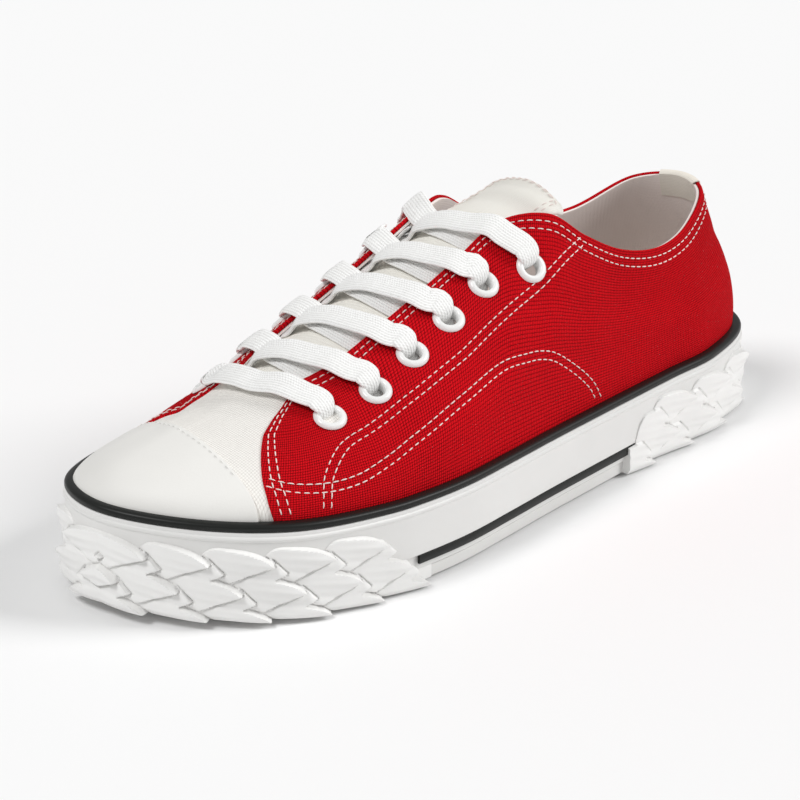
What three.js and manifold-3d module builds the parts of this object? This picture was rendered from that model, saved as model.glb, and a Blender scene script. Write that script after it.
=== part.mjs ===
// A low-cut canvas sneaker for the left foot, on a white rubber platform sole.
//
// Everything is worked out in last coordinates, in millimetres: x runs from the back of the heel to the
// toe, y to the outer (lateral) side of the foot, z up from the floor. The finished group is moved so that
// the middle of its footprint is the origin.
import * as THREE from "three";
import { mergeVertices } from "three/addons/utils/BufferGeometryUtils.js";
import Module from "manifold-3d";

const wasm = await Module();
wasm.setup();

const vec = (x, y, z) => new THREE.Vector3(x, y, z);
const UP = vec(0, 0, 1);

// ---------------------------------------------------------------- driving dimensions

const FOOTPRINT_CENTRE = vec(135.63, 1.16, 0);

const GAP = 0.3;
const STATIONS = 72;
const BANDS = 7;

const OUTSOLE_THICKNESS = 5;
const PLATFORM_HEIGHT = 26;
const TOE_SPRING = { start: 175, run: 97, rise: 5.7 };
const TREAD_SPRING = { start: 200, run: 72, rise: 3 };
const CUP_DEPTH = 6;
const WAIST_STEP = { top: 10.4, inset: 1.2 };

const STRIPE_HEIGHT = 2.4;
const STRIPE_CHAMFER = 0.8;
const UPPER_INSET = 3.2;
const CANVAS_WALL = 2;
const INSOLE_THICKNESS = 3.5;
const TOE_CAP = { thickness: 0.9, backX: 237, turn: -0.2 };

const EYELETS = { rows: 6, firstX: 207.3, pitch: 17, setback: { lateral: 18, medial: 15 } };
const EYELET = { hole: 2.8, barrel: 3.2, rim: 4.95, height: 1.1, lift: 0.7, depth: 1.7, sides: 9 };
const LACE = { width: 8.4, thickness: 1.2, rise: { bar: 6.5, under: 3.4, over: 4.2 } };
const TONGUE = { thickness: 2.4, roll: 0.08, sag: 0.0145 };
const SCALES = { pitch: 17.9, row: 8.8, base: 0.9, proud: 1.9 };
const BUMPER = { foot: 1, rise: 20.5, rows: 6, toeEndX: 194, heelEndX: 82 };
const PINSTRIPE_BOTTOM = 7.5;
const TREAD = { arch: { x: 107, length: 30, depth: 1.6 }, groove: { length: 2.4, depth: 1.4 } };
const TREAD_GROOVES = [20, 42, 64, 146, 166, 186];

// One row for each section round the shoe, starting at the back of the heel and going by the lateral side
// to the toe and back by the medial side. `outline` is the edge of the platform, `top` is the free edge of
// the upper above it, the leans are degrees from upright (outwards at the foot, inwards at the top) and
// the two fullnesses say how far those leans reach, as parts of the straight distance.
const section = (outlineX, outlineY, topX, topY, topZ, footLean, topLean, footFull, topFull) => ({
  outline: vec(outlineX, outlineY, 0),
  top: vec(topX, topY, topZ),
  footLean,
  topLean,
  footFull,
  topFull,
});
const SECTIONS = [
  section(-1, 0, 19.5, 0, 77.5, 4, 12, 0.36, 0.36), //            heel back
  section(9, 21, 26, 15, 77, 4, 16, 0.36, 0.36), //               heel, lateral
  section(38, 33.5, 45, 24, 70, 6, 18, 0.36, 0.36),
  section(62, 36, 62, 27, 68, 5, 14, 0.36, 0.36), //              collar dip
  section(85, 38.5, 80, 27, 71.5, 3, 14, 0.36, 0.36),
  section(107, 41, 97, 26, 80, 2, 22, 0.36, 0.36),
  section(130, 43.7, 110, 22, 89, 0, 30, 0.36, 0.36), //          top of the facing
  section(151, 46.5, 120, 12.5, 87.5, 2, 50, 0.36, 0.34), //      facing corner
  section(172, 49, 144, 12, 78, 3, 56, 0.34, 0.34), //            ball, lateral
  section(190, 49.3, 170, 12, 68, 4, 60, 0.32, 0.34),
  section(206, 48.2, 194, 11.5, 59.5, 5, 64, 0.3, 0.34),
  section(238, 40, 207, 8, 56, 2, 66, 0.25, 0.38), //             toe, lateral
  section(261, 20.5, 211, 1, 54.5, -15, 66, 0.25, 0.38),
  section(272, -4, 212, -4, 54, -24, 63, 0.25, 0.38), //          toe tip
  section(265, -25.5, 211, -9, 53.3, -34, 58, 0.25, 0.36),
  section(240, -40.3, 207, -15, 52.8, -40, 52, 0.25, 0.34), //    toe, medial
  section(206, -46.8, 194, -19, 56.5, -24, 52, 0.25, 0.34),
  section(172, -44.8, 148, -19, 74.5, 8, 54, 0.28, 0.36), //      ball, medial
  section(151, -40.5, 121, -19, 86, 4, 46, 0.34, 0.36), //        facing corner
  section(130, -35.5, 108, -24, 84, 3, 30, 0.36, 0.36), //        top of the facing
  section(85, -31.5, 80, -27, 68, 4, 14, 0.36, 0.36), //          arch
  section(38, -32.8, 46, -24, 66, 6, 18, 0.36, 0.36),
  section(9, -21.5, 26, -14, 75, 4, 16, 0.36, 0.36), //           heel, medial
];

// Rows of the section table: the toe tip, and the tops of the two facings.
const TOE_ROW = 13;
const COLLAR_ROW = { lateral: 5, medial: 21 };

// The tongue from its hidden front end to its free top edge: the middle of its upper face and its half
// width. Its free end leans to the outer side.
const tongueRow = (x, y, z, halfWidth) => ({ middle: vec(x, y, z), halfWidth });
const TONGUE_ROWS = [
  tongueRow(216, -3.5, 49, 19),
  tongueRow(206, -3.5, 52.8, 22),
  tongueRow(194, -3.5, 57.6, 24),
  tongueRow(172, -3.5, 65.8, 24),
  tongueRow(148, -3, 74.3, 22),
  tongueRow(126, -2, 82.3, 19.5),
  tongueRow(114, -1.5, 88.3, 19),
  tongueRow(107, 3, 93.6, 16.5),
  tongueRow(103.5, 4, 96.4, 15),
];

// ---------------------------------------------------------------- materials

const surface = (color, roughness) => new THREE.MeshStandardMaterial({ color, roughness, metalness: 0 });
const PAINT = {
  redCanvas: () => surface(0xc4161f, 0.85),
  creamCanvas: () => surface(0xe4e0d4, 0.85),
  greyCloth: () => surface(0xb8b2aa, 0.9),
  whiteRubber: () => surface(0xf0f0ee, 0.45),
  blackRubber: () => surface(0x161a18, 0.4),
  whiteEnamel: () => surface(0xf4f4f2, 0.25),
  whiteCotton: () => surface(0xf3f3f1, 0.9),
};

// ---------------------------------------------------------------- small tools

const lerp = THREE.MathUtils.lerp;
const clamp01 = (value) => THREE.MathUtils.clamp(value, 0, 1);
const smooth = (value) => value * value * (3 - 2 * value);
const range = (count) => Array.from({ length: count }, (_, index) => index);

/** Height that a spring curve adds at x: nothing up to its start, then a parabola. */
function springAt(spring, x) {
  return spring.rise * Math.max(0, (x - spring.start) / spring.run) ** 2;
}

/** Signed volume of an indexed triangle list. */
function volumeOf(points, faces) {
  let volume = 0;
  for (const [a, b, c] of faces) {
    volume += points[a].dot(points[b].clone().cross(points[c])) / 6;
  }
  return volume;
}

/** Closed geometry from points and faces, turned so that the faces look outwards. */
function closedGeometry(points, faces) {
  const outward = volumeOf(points, faces) > 0 ? faces : faces.map(([a, b, c]) => [a, c, b]);
  const geometry = new THREE.BufferGeometry().setFromPoints(points);
  geometry.setIndex(outward.flat());
  return geometry;
}

/**
 * Solid through a row of rings with equal numbers of points. A looped loft joins its last ring to its
 * first; any other is capped at both ends by strips that pair each point with the one opposite it.
 */
function loft(rings, looped = false) {
  const count = rings[0].length;
  const points = rings.flat();
  const faces = [];
  const steps = looped ? rings.length : rings.length - 1;
  for (let ring = 0; ring < steps; ring += 1) {
    const next = (ring + 1) % rings.length;
    for (let side = 0; side < count; side += 1) {
      const after = (side + 1) % count;
      const [a, b] = [ring * count + side, ring * count + after];
      const [c, d] = [next * count + after, next * count + side];
      faces.push([a, b, c], [a, c, d]);
    }
  }
  if (!looped) {
    const last = (rings.length - 1) * count;
    for (let side = 0; side < count / 2 - 1; side += 1) {
      const far = count - 1 - side;
      faces.push([side, far, far - 1], [side, far - 1, side + 1]);
      faces.push([last + side, last + far - 1, last + far], [last + side, last + side + 1, last + far - 1]);
    }
  }
  return closedGeometry(points, faces);
}

/** Solid between two grids of points with the same rows and columns. */
function slab(front, back) {
  return loft(front.map((row, index) => [...row, ...[...back[index]].reverse()]));
}

function toManifold(geometry) {
  const bare = geometry.clone();
  bare.deleteAttribute("normal");
  bare.deleteAttribute("uv");
  const merged = mergeVertices(bare, 1e-4);
  return new wasm.Manifold(
    new wasm.Mesh({
      numProp: 3,
      vertProperties: new Float32Array(merged.attributes.position.array),
      triVerts: new Uint32Array(merged.index.array),
    }),
  );
}

function fromManifold(manifold) {
  const mesh = manifold.getMesh();
  const geometry = new THREE.BufferGeometry();
  geometry.setAttribute("position", new THREE.BufferAttribute(mesh.vertProperties, 3));
  geometry.setIndex(new THREE.BufferAttribute(mesh.triVerts, 1));
  return geometry;
}

const shoe = new THREE.Group();
shoe.position.copy(FOOTPRINT_CENTRE).negate();

function addPiece(name, geometry, material, placement = null) {
  const mesh = new THREE.Mesh(geometry, material);
  mesh.name = name;
  if (placement) {
    mesh.position.copy(placement.point);
    mesh.quaternion.setFromUnitVectors(UP, placement.normal);
  }
  shoe.add(mesh);
}

// ---------------------------------------------------------------- the last's own surface

const outlineCurve = new THREE.CatmullRomCurve3(SECTIONS.map((row) => row.outline), true, "centripetal");
const topCurve = new THREE.CatmullRomCurve3(SECTIONS.map((row) => row.top), true, "centripetal");
outlineCurve.arcLengthDivisions = 1200;

/** Curve parameters of the stations, evenly spaced round the outline and astride the heel's middle. */
const stationParameters = range(STATIONS).map((index) =>
  outlineCurve.getUtoTmapping((index + 0.5) / STATIONS),
);

/** A column of the section table, blended between its two nearest rows. */
function blended(t, column) {
  const place = t * SECTIONS.length;
  const row = Math.floor(place);
  const from = SECTIONS[row % SECTIONS.length];
  const to = SECTIONS[(row + 1) % SECTIONS.length];
  return lerp(from[column], to[column], smooth(place - row));
}

function outwardAt(t) {
  const tangent = outlineCurve.getTangent(t);
  return vec(-tangent.y, tangent.x, 0).normalize();
}

const stripeTopAt = (x) => PLATFORM_HEIGHT + STRIPE_HEIGHT + springAt(TOE_SPRING, x);
const cupFloorAt = (x) => PLATFORM_HEIGHT - CUP_DEPTH + springAt(TOE_SPRING, x);

/** The curve that the upper's outer face follows at parameter t, from the stripe to its free edge. */
function profileAt(t) {
  const outward = outwardAt(t);
  const foot = outlineCurve.getPoint(t).addScaledVector(outward, -UPPER_INSET);
  foot.z = stripeTopAt(foot.x);
  const top = topCurve.getPoint(t);
  const inward = top.clone().sub(foot).setZ(0).normalize();
  const reach = top.distanceTo(foot);
  const footLean = THREE.MathUtils.degToRad(blended(t, "footLean"));
  const topLean = THREE.MathUtils.degToRad(blended(t, "topLean"));
  const footArm = outward.clone().multiplyScalar(Math.sin(footLean)).setZ(Math.cos(footLean));
  const topArm = inward.multiplyScalar(Math.sin(topLean)).setZ(Math.cos(topLean));
  return new THREE.CubicBezierCurve3(
    foot,
    foot.clone().addScaledVector(footArm, reach * blended(t, "footFull")),
    top.clone().addScaledVector(topArm, -reach * blended(t, "topFull")),
    top,
  );
}

/** Point of the upper's outer face, v from 0 at the stripe to 1 at the free edge, moved out by `offset`. */
function upperPoint(t, v, offset = 0) {
  const point = profileAt(t).getPoint(v);
  return offset === 0 ? point : point.addScaledVector(upperNormal(t, v), offset);
}

function upperNormal(t, v) {
  const step = 1e-3;
  const wrap = (value) => (value + 1) % 1;
  const around = profileAt(wrap(t + step)).getPoint(v).sub(profileAt(wrap(t - step)).getPoint(v));
  const profile = profileAt(t);
  const upwards = profile.getPoint(Math.min(1, v + step)).sub(profile.getPoint(Math.max(0, v - step)));
  return upwards.cross(around).normalize();
}

/** Ring round the whole shoe on the upper's face. */
const upperRing = (v, offset) => stationParameters.map((t) => upperPoint(t, v, offset));

/** Ring round the whole shoe beside the platform's outline, at a height that depends on x. */
function outlineRing(offset, heightAt) {
  return stationParameters.map((t) => {
    const point = outlineCurve.getPoint(t);
    const height = heightAt(point.x);
    return point.addScaledVector(outwardAt(t), offset).setZ(height);
  });
}

// ---------------------------------------------------------------- sole

const treadAt = (x) => springAt(TREAD_SPRING, x);

/** Horizontal bar that cuts a groove right across the tread. */
function treadCutter(x, length, depth) {
  const width = 130;
  const box = new THREE.BoxGeometry(length, width, 2 * depth);
  box.translate(x, 0, 0);
  return toManifold(box);
}

function makeOutsole() {
  const plate = loft([
    outlineRing(-2.6, treadAt),
    outlineRing(-1.8, (x) => treadAt(x) + 1),
    outlineRing(-1.8, (x) => treadAt(x) + OUTSOLE_THICKNESS),
  ]);
  let solid = toManifold(plate).subtract(treadCutter(TREAD.arch.x, TREAD.arch.length, TREAD.arch.depth));
  for (const x of TREAD_GROOVES) {
    solid = solid.subtract(treadCutter(x, TREAD.groove.length, TREAD.groove.depth));
  }
  addPiece("outsole", fromManifold(solid), PAINT.whiteRubber());
}

function makeMidsole() {
  const bottomAt = (x) => treadAt(x) + OUTSOLE_THICKNESS + GAP;
  const rimAt = (x) => PLATFORM_HEIGHT + springAt(TOE_SPRING, x);
  const cupWall = GAP - UPPER_INSET;
  addPiece(
    "midsole",
    loft([
      outlineRing(-WAIST_STEP.inset, bottomAt),
      outlineRing(-WAIST_STEP.inset, (x) => treadAt(x) + WAIST_STEP.top),
      outlineRing(0, (x) => treadAt(x) + WAIST_STEP.top),
      outlineRing(0, rimAt),
      outlineRing(cupWall, rimAt),
      outlineRing(cupWall, cupFloorAt),
    ]),
    PAINT.whiteRubber(),
  );
}

function makeFoxingStripe() {
  const inner = GAP - UPPER_INSET;
  const above = (height) => (x) => PLATFORM_HEIGHT + springAt(TOE_SPRING, x) + height;
  addPiece(
    "foxing_stripe",
    loft(
      [
        outlineRing(inner, above(GAP)),
        outlineRing(0, above(GAP)),
        outlineRing(0, above(STRIPE_HEIGHT - STRIPE_CHAMFER)),
        outlineRing(-STRIPE_CHAMFER, above(STRIPE_HEIGHT)),
        outlineRing(inner, above(STRIPE_HEIGHT)),
      ],
      true,
    ),
    PAINT.blackRubber(),
  );
}

function makeInsole() {
  const edge = -(UPPER_INSET + CANVAS_WALL + GAP);
  addPiece(
    "insole",
    loft([
      outlineRing(edge, (x) => cupFloorAt(x) + GAP),
      outlineRing(edge, (x) => cupFloorAt(x) + GAP + INSOLE_THICKNESS),
    ]),
    PAINT.greyCloth(),
  );
}

/** Parameter on the lateral (t < 0.5) or medial half of the outline at a given x. */
function parameterAtX(x, side) {
  const toe = TOE_ROW / SECTIONS.length;
  let [low, high] = side === "lateral" ? [0, toe] : [1, toe];
  for (let step = 0; step < 40; step += 1) {
    const middle = (low + high) / 2;
    if (outlineCurve.getPoint(middle).x < x) low = middle;
    else high = middle;
  }
  return (low + high) / 2;
}

/** Points of an outline stretch between two curve parameters, evenly spaced. */
const stretch = (from, to, count) => range(count).map((index) => lerp(from, to, index / (count - 1)));

function makePinstripe(side) {
  const places = stretch(parameterAtX(BUMPER.heelEndX, side), parameterAtX(BUMPER.toeEndX, side), 12);
  const bottom = PINSTRIPE_BOTTOM;
  const top = WAIST_STEP.top - GAP;
  const rail = (offset, z) =>
    places.map((t) => outlineCurve.getPoint(t).addScaledVector(outwardAt(t), offset).setZ(z));
  const back = GAP - WAIST_STEP.inset;
  addPiece(
    `pinstripe_${side}`,
    slab([rail(0, bottom), rail(0, top)], [rail(back, bottom), rail(back, top)]),
    PAINT.blackRubber(),
  );
}

/**
 * How far a scale bumper stands out at distance `along` from its middle and height `up` above its foot.
 * Leaf-shaped scales lie in rows, half a pitch apart from row to row. Each rises towards its tip, and the
 * highest scale at a place is the one that shows.
 */
function scaleRelief(along, up) {
  let height = 0;
  for (let row = -1; row <= 3; row += 1) {
    const middle = (row + 0.5) * SCALES.row;
    const shift = row % 2 === 0 ? 0.5 : 0;
    const first = Math.floor(along / SCALES.pitch - shift);
    for (let index = first; index <= first + 2; index += 1) {
      const back = (index + shift) * SCALES.pitch - along;
      const length = SCALES.pitch * 1.5;
      if (back < 0 || back > length) continue;
      const halfWidth = 0.72 * SCALES.row * Math.sqrt(clamp01(back / (0.55 * SCALES.pitch)));
      const aside = Math.abs(up - middle) / Math.max(halfWidth, 0.01);
      if (aside < 1) height = Math.max(height, (1 - back / length) * (1 - 0.35 * aside * aside));
    }
  }
  return SCALES.base + SCALES.proud * height;
}

/** Bumper round one end of the platform, from its lateral to its medial end. */
function makeBumper(name, from, to, columns) {
  const places = stretch(from, to, columns).map((t) => ((t % 1) + 1) % 1);
  const edge = places.map((t) => outlineCurve.getPoint(t));
  const outward = places.map(outwardAt);
  const lengths = [0];
  for (let index = 1; index < columns; index += 1) {
    lengths.push(lengths[index - 1] + edge[index].distanceTo(edge[index - 1]));
  }
  const half = lengths[columns - 1] / 2;
  const { rows, foot, rise } = BUMPER;
  const heightAt = (row, x) => {
    const part = row / rows;
    return foot + part * rise + lerp(springAt(TREAD_SPRING, x), springAt(TOE_SPRING, x), part);
  };
  const grid = (offsetAt) =>
    range(rows + 1).map((row) =>
      edge.map((point, column) =>
        point
          .clone()
          .addScaledVector(outward[column], offsetAt(row, column))
          .setZ(heightAt(row, point.x)),
      ),
    );
  const front = grid((row, column) => scaleRelief(Math.abs(lengths[column] - half), (row / rows) * rise));
  const back = grid(() => GAP);
  addPiece(name, slab(front, back), PAINT.whiteRubber());
}

// ---------------------------------------------------------------- upper, toe cap, tongue

const levels = (from, to, steps) => range(steps + 1).map((index) => lerp(from, to, index / steps));
const faceLevels = levels(0, 1, BANDS);

/** Place on the upper beside a facing: x along the shoe, and the distance back from the free edge. */
function facingPlace(side, x, setback) {
  const toe = TOE_ROW / SECTIONS.length;
  const alongProfile = (t) => {
    const profile = profileAt(t);
    return 1 - clamp01(setback / profile.getLength());
  };
  let [low, high] = [COLLAR_ROW[side] / SECTIONS.length, toe];
  for (let step = 0; step < 30; step += 1) {
    const middle = (low + high) / 2;
    if (profileAt(middle).getPointAt(alongProfile(middle)).x < x) low = middle;
    else high = middle;
  }
  const t = (low + high) / 2;
  const v = profileAt(t).getUtoTmapping(alongProfile(t));
  return { point: upperPoint(t, v), normal: upperNormal(t, v) };
}

const eyeletPlace = (side, row) =>
  facingPlace(side, EYELETS.firstX - (row - 1) * EYELETS.pitch, EYELETS.setback[side]);

function makeUpper() {
  const bottomAt = (x) => cupFloorAt(x) + GAP;
  const wall = loft(
    [
      outlineRing(-UPPER_INSET, bottomAt),
      ...faceLevels.map((v) => upperRing(v, 0)),
      ...[...faceLevels].reverse().map((v) => upperRing(v, -CANVAS_WALL)),
      outlineRing(-UPPER_INSET - CANVAS_WALL, bottomAt),
    ],
    true,
  );
  let solid = toManifold(wall);
  for (const side of ["lateral", "medial"]) {
    for (let row = 1; row <= EYELETS.rows; row += 1) {
      const place = eyeletPlace(side, row);
      const radius = EYELET.barrel + 2 * GAP;
      const punch = new THREE.CylinderGeometry(radius, radius, 4 * CANVAS_WALL, EYELET.sides);
      punch.rotateX(Math.PI / 2);
      punch.applyQuaternion(new THREE.Quaternion().setFromUnitVectors(UP, place.normal));
      punch.translate(...place.point.toArray());
      solid = solid.subtract(toManifold(punch));
    }
  }
  addPiece("upper", fromManifold(solid), PAINT.redCanvas());
}

function makeToeCap() {
  const capLevels = [0.05, ...faceLevels.slice(1, -1)];
  const skin = loft(
    [
      ...capLevels.map((v) => upperRing(v, GAP + TOE_CAP.thickness)),
      ...[...capLevels].reverse().map((v) => upperRing(v, GAP)),
    ],
    true,
  );
  const size = 160;
  const front = new THREE.BoxGeometry(size, size, size);
  front.translate(size / 2, 0, 0);
  front.rotateZ(TOE_CAP.turn);
  front.translate(TOE_CAP.backX, 0, 0);
  addPiece("toe_cap", fromManifold(toManifold(skin).intersect(toManifold(front))), PAINT.whiteRubber());
}

const tongueCurve = new THREE.CatmullRomCurve3(TONGUE_ROWS.map((row) => row.middle), false, "centripetal");

/** Point on the tongue's upper face: s from 0 at its front to 1 at its top, `across` from -1 to 1. */
function tonguePoint(s, across, drop = 0) {
  const middle = tongueCurve.getPoint(s);
  const place = s * (TONGUE_ROWS.length - 1);
  const row = Math.min(Math.floor(place), TONGUE_ROWS.length - 2);
  const halfWidth = lerp(TONGUE_ROWS[row].halfWidth, TONGUE_ROWS[row + 1].halfWidth, place - row);
  const aside = across * halfWidth;
  return middle.add(vec(0, aside, TONGUE.roll * aside - TONGUE.sag * aside ** 2 - drop));
}

function makeTongue() {
  const places = levels(0, 1, 12);
  const across = levels(-1, 1, 10);
  const face = (drop) => places.map((s) => across.map((side) => tonguePoint(s, side, drop)));
  addPiece("tongue", slab(face(0), face(TONGUE.thickness)), PAINT.creamCanvas());
}

// ---------------------------------------------------------------- eyelets and lace

function makeEyelets() {
  const profile = [
    [EYELET.hole, -EYELET.depth],
    [EYELET.barrel, -EYELET.depth],
    [EYELET.barrel, EYELET.lift],
    [EYELET.rim, EYELET.lift],
    [EYELET.hole, EYELET.lift + EYELET.height],
    [EYELET.hole, -EYELET.depth],
  ];
  for (const side of ["lateral", "medial"]) {
    for (let row = 1; row <= EYELETS.rows; row += 1) {
      const ring = new THREE.LatheGeometry(profile.map(([r, h]) => new THREE.Vector2(r, h)), EYELET.sides);
      ring.rotateX(Math.PI / 2);
      addPiece(`eyelet_${side}_${row}`, ring, PAINT.whiteEnamel(), eyeletPlace(side, row));
    }
  }
}

/** Parameter along the tongue at a given x. */
function tongueParameterAtX(x) {
  let [low, high] = [0, 1];
  for (let step = 0; step < 30; step += 1) {
    const middle = (low + high) / 2;
    if (tongueCurve.getPoint(middle).x > x) low = middle;
    else high = middle;
  }
  return (low + high) / 2;
}

/** Flat band along a smooth path: its width lies square to the path and to the normals given with it. */
function band(stops, steps) {
  const path = new THREE.CatmullRomCurve3(stops.map((stop) => stop.point), false, "centripetal");
  const facing = new THREE.CatmullRomCurve3(stops.map((stop) => stop.normal), false, "centripetal");
  const rings = levels(0, 1, steps).map((part) => {
    const t = path.getUtoTmapping(part);
    const middle = path.getPoint(t);
    const side = path.getTangent(t).cross(facing.getPoint(t)).normalize();
    const up = side.clone().cross(path.getTangent(t)).normalize();
    return [
      [-0.5, 0.5],
      [0.5, 0.5],
      [0.5, -0.5],
      [-0.5, -0.5],
    ].map(([across, over]) =>
      middle
        .clone()
        .addScaledVector(side, across * LACE.width)
        .addScaledVector(up, over * LACE.thickness),
    );
  });
  return loft(rings);
}

const lifted = (place, lift) => ({
  point: place.point.clone().addScaledVector(place.normal, lift),
  normal: place.normal,
});

/** Stop over the throat: a point above the tongue's middle part, `y` to the lateral side. */
function throatStop(x, y, lift) {
  const s = tongueParameterAtX(x);
  const middle = tongueCurve.getPoint(s);
  const row = Math.round(s * (TONGUE_ROWS.length - 1));
  const across = (y - middle.y) / TONGUE_ROWS[row].halfWidth;
  const slope = tongueCurve.getTangent(s);
  const normal = vec(-slope.z, 0, slope.x).multiplyScalar(-1).normalize();
  return { point: tonguePoint(s, across).add(vec(0, 0, lift)), normal };
}

const eyeletX = (row) => EYELETS.firstX - (row - 1) * EYELETS.pitch;
const opposite = (side) => (side === "lateral" ? "medial" : "lateral");

/** Lift of a lace's middle over the rims of the eyelets. */
const LACE_OVER_RIM = EYELET.lift + EYELET.height + LACE.thickness / 2 + 2 * GAP;
const THROAT_Y = { lateral: 8, middle: -3.5, medial: -14 };

/** The straight bar over the foot of the throat, from eyelet to eyelet of the first row. */
function makeFirstBar() {
  const setback = 5;
  const stops = [
    lifted(eyeletPlace("medial", 1), LACE_OVER_RIM),
    lifted(facingPlace("medial", eyeletX(1), setback), LACE_OVER_RIM + 2 * GAP),
    throatStop(eyeletX(1) + 1, THROAT_Y.middle, LACE.rise.bar),
    lifted(facingPlace("lateral", eyeletX(1), setback), LACE_OVER_RIM + 2 * GAP),
    lifted(eyeletPlace("lateral", 1), LACE_OVER_RIM),
  ];
  addPiece("lace_1", band(stops, 12), PAINT.whiteCotton());
}

/** One band of a crossing: up from the throat beside one facing, over the other and into its eyelet. */
function crossingBand(row, goal, crossLift) {
  const middleX = eyeletX(row) + EYELETS.pitch * 0.4;
  const stops = [
    throatStop(middleX, THROAT_Y[opposite(goal)], 2.2),
    throatStop(middleX - 2, THROAT_Y.middle, crossLift),
    lifted(facingPlace(goal, eyeletX(row) + 1.5, 2), LACE_OVER_RIM + 1),
    lifted(eyeletPlace(goal, row), LACE_OVER_RIM),
  ];
  return toManifold(band(stops, 9));
}

function makeCrossing(row) {
  const lower = crossingBand(row, "medial", LACE.rise.under);
  const solid = lower.add(crossingBand(row, "lateral", LACE.rise.over));
  addPiece(`lace_${row}`, fromManifold(solid), PAINT.whiteCotton());
}

makeOutsole();
makeMidsole();
makeFoxingStripe();
makeInsole();
makePinstripe("lateral");
makePinstripe("medial");
const toeEnds = ["lateral", "medial"].map((side) => parameterAtX(BUMPER.toeEndX, side));
const heelEnds = ["medial", "lateral"].map((side) => parameterAtX(BUMPER.heelEndX, side));
makeBumper("toe_bumper", toeEnds[0], toeEnds[1], 48);
makeBumper("heel_bumper", heelEnds[0] - 1, heelEnds[1], 36);
makeUpper();
makeToeCap();
makeTongue();
makeEyelets();
makeFirstBar();
for (let row = 2; row <= EYELETS.rows; row += 1) {
  makeCrossing(row);
}

export default shoe;
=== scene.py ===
"""Looks of a low-cut canvas sneaker for the left foot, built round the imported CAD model.

Shapes are worked out in last coordinates, in millimetres: x from the back of the heel to the toe, y to the
outer (lateral) side, z up from the floor. Every mesh is moved to the middle of the footprint and scaled to
metres when it is made.
"""
import math

import bpy
import numpy as np
from mathutils import Matrix


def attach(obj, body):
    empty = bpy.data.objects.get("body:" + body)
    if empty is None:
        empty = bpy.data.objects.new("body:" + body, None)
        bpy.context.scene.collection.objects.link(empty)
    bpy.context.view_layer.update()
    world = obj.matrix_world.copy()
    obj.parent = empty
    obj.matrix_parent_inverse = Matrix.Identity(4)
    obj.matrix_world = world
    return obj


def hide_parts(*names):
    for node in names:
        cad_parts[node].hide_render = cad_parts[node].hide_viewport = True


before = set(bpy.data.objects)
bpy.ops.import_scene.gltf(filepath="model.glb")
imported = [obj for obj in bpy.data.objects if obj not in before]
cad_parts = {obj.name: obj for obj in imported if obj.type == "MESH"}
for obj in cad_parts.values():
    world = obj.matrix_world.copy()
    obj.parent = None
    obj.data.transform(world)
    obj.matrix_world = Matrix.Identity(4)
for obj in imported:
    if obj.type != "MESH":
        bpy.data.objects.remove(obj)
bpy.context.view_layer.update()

# ------------------------------------------------------------------ sizes shared with the CAD model, mm

MM = 0.001
FOOTPRINT_CENTRE = np.array([135.63, 1.16, 0.0])
OUTSOLE_THICKNESS = 5.0
PLATFORM_HEIGHT = 26.0
# A spring is where it starts along x, its run and its rise.
TOE_SPRING = (175.0, 97.0, 5.7)
TREAD_SPRING = (200.0, 72.0, 3.0)
CUP_DEPTH = 6.0
WAIST_STEP_TOP = 10.4
WAIST_STEP_INSET = 1.2
STRIPE_HEIGHT = 2.4
UPPER_INSET = 3.2
CANVAS_WALL = 2.0
INSOLE_THICKNESS = 3.5
EYELET_ROWS = 6
EYELET_FIRST_X = 207.3
EYELET_PITCH = 17.0
EYELET_SETBACK = {"lateral": 18.0, "medial": 15.0}
EYELET_HOLE_RADIUS = 3.3
GAP = 0.3
SIDES = ("lateral", "medial")

# One row for each section round the shoe: heel, lateral side, toe, medial side.
SECTION_COLUMNS = ("outline_x", "outline_y", "top_x", "top_y", "top_z", "foot_lean", "top_lean", "foot_full",
                   "top_full")
SECTIONS = np.array([
    (-1, 0, 19.5, 0, 77.5, 4, 12, 0.36, 0.36),
    (9, 21, 26, 15, 77, 4, 16, 0.36, 0.36),
    (38, 33.5, 45, 24, 70, 6, 18, 0.36, 0.36),
    (62, 36, 62, 27, 68, 5, 14, 0.36, 0.36),
    (85, 38.5, 80, 27, 71.5, 3, 14, 0.36, 0.36),
    (107, 41, 97, 26, 80, 2, 22, 0.36, 0.36),
    (130, 43.7, 110, 22, 89, 0, 30, 0.36, 0.36),
    (151, 46.5, 120, 12.5, 87.5, 2, 50, 0.36, 0.34),
    (172, 49, 144, 12, 78, 3, 56, 0.34, 0.34),
    (190, 49.3, 170, 12, 68, 4, 60, 0.32, 0.34),
    (206, 48.2, 194, 11.5, 59.5, 5, 64, 0.3, 0.34),
    (238, 40, 207, 8, 56, 2, 66, 0.25, 0.38),
    (261, 20.5, 211, 1, 54.5, -15, 66, 0.25, 0.38),
    (272, -4, 212, -4, 54, -24, 63, 0.25, 0.38),
    (265, -25.5, 211, -9, 53.3, -34, 58, 0.25, 0.36),
    (240, -40.3, 207, -15, 52.8, -40, 52, 0.25, 0.34),
    (206, -46.8, 194, -19, 56.5, -24, 52, 0.25, 0.34),
    (172, -44.8, 148, -19, 74.5, 8, 54, 0.28, 0.36),
    (151, -40.5, 121, -19, 86, 4, 46, 0.34, 0.36),
    (130, -35.5, 108, -24, 84, 3, 30, 0.36, 0.36),
    (85, -31.5, 80, -27, 68, 4, 14, 0.36, 0.36),
    (38, -32.8, 46, -24, 66, 6, 18, 0.36, 0.36),
    (9, -21.5, 26, -14, 75, 4, 16, 0.36, 0.36),
])
COLUMN = {name: SECTIONS[:, index] for index, name in enumerate(SECTION_COLUMNS)}
OUTLINE = SECTIONS[:, 0:2]
TOP_LINE = SECTIONS[:, 2:5]
SECTION_COUNT = len(SECTIONS)

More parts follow.
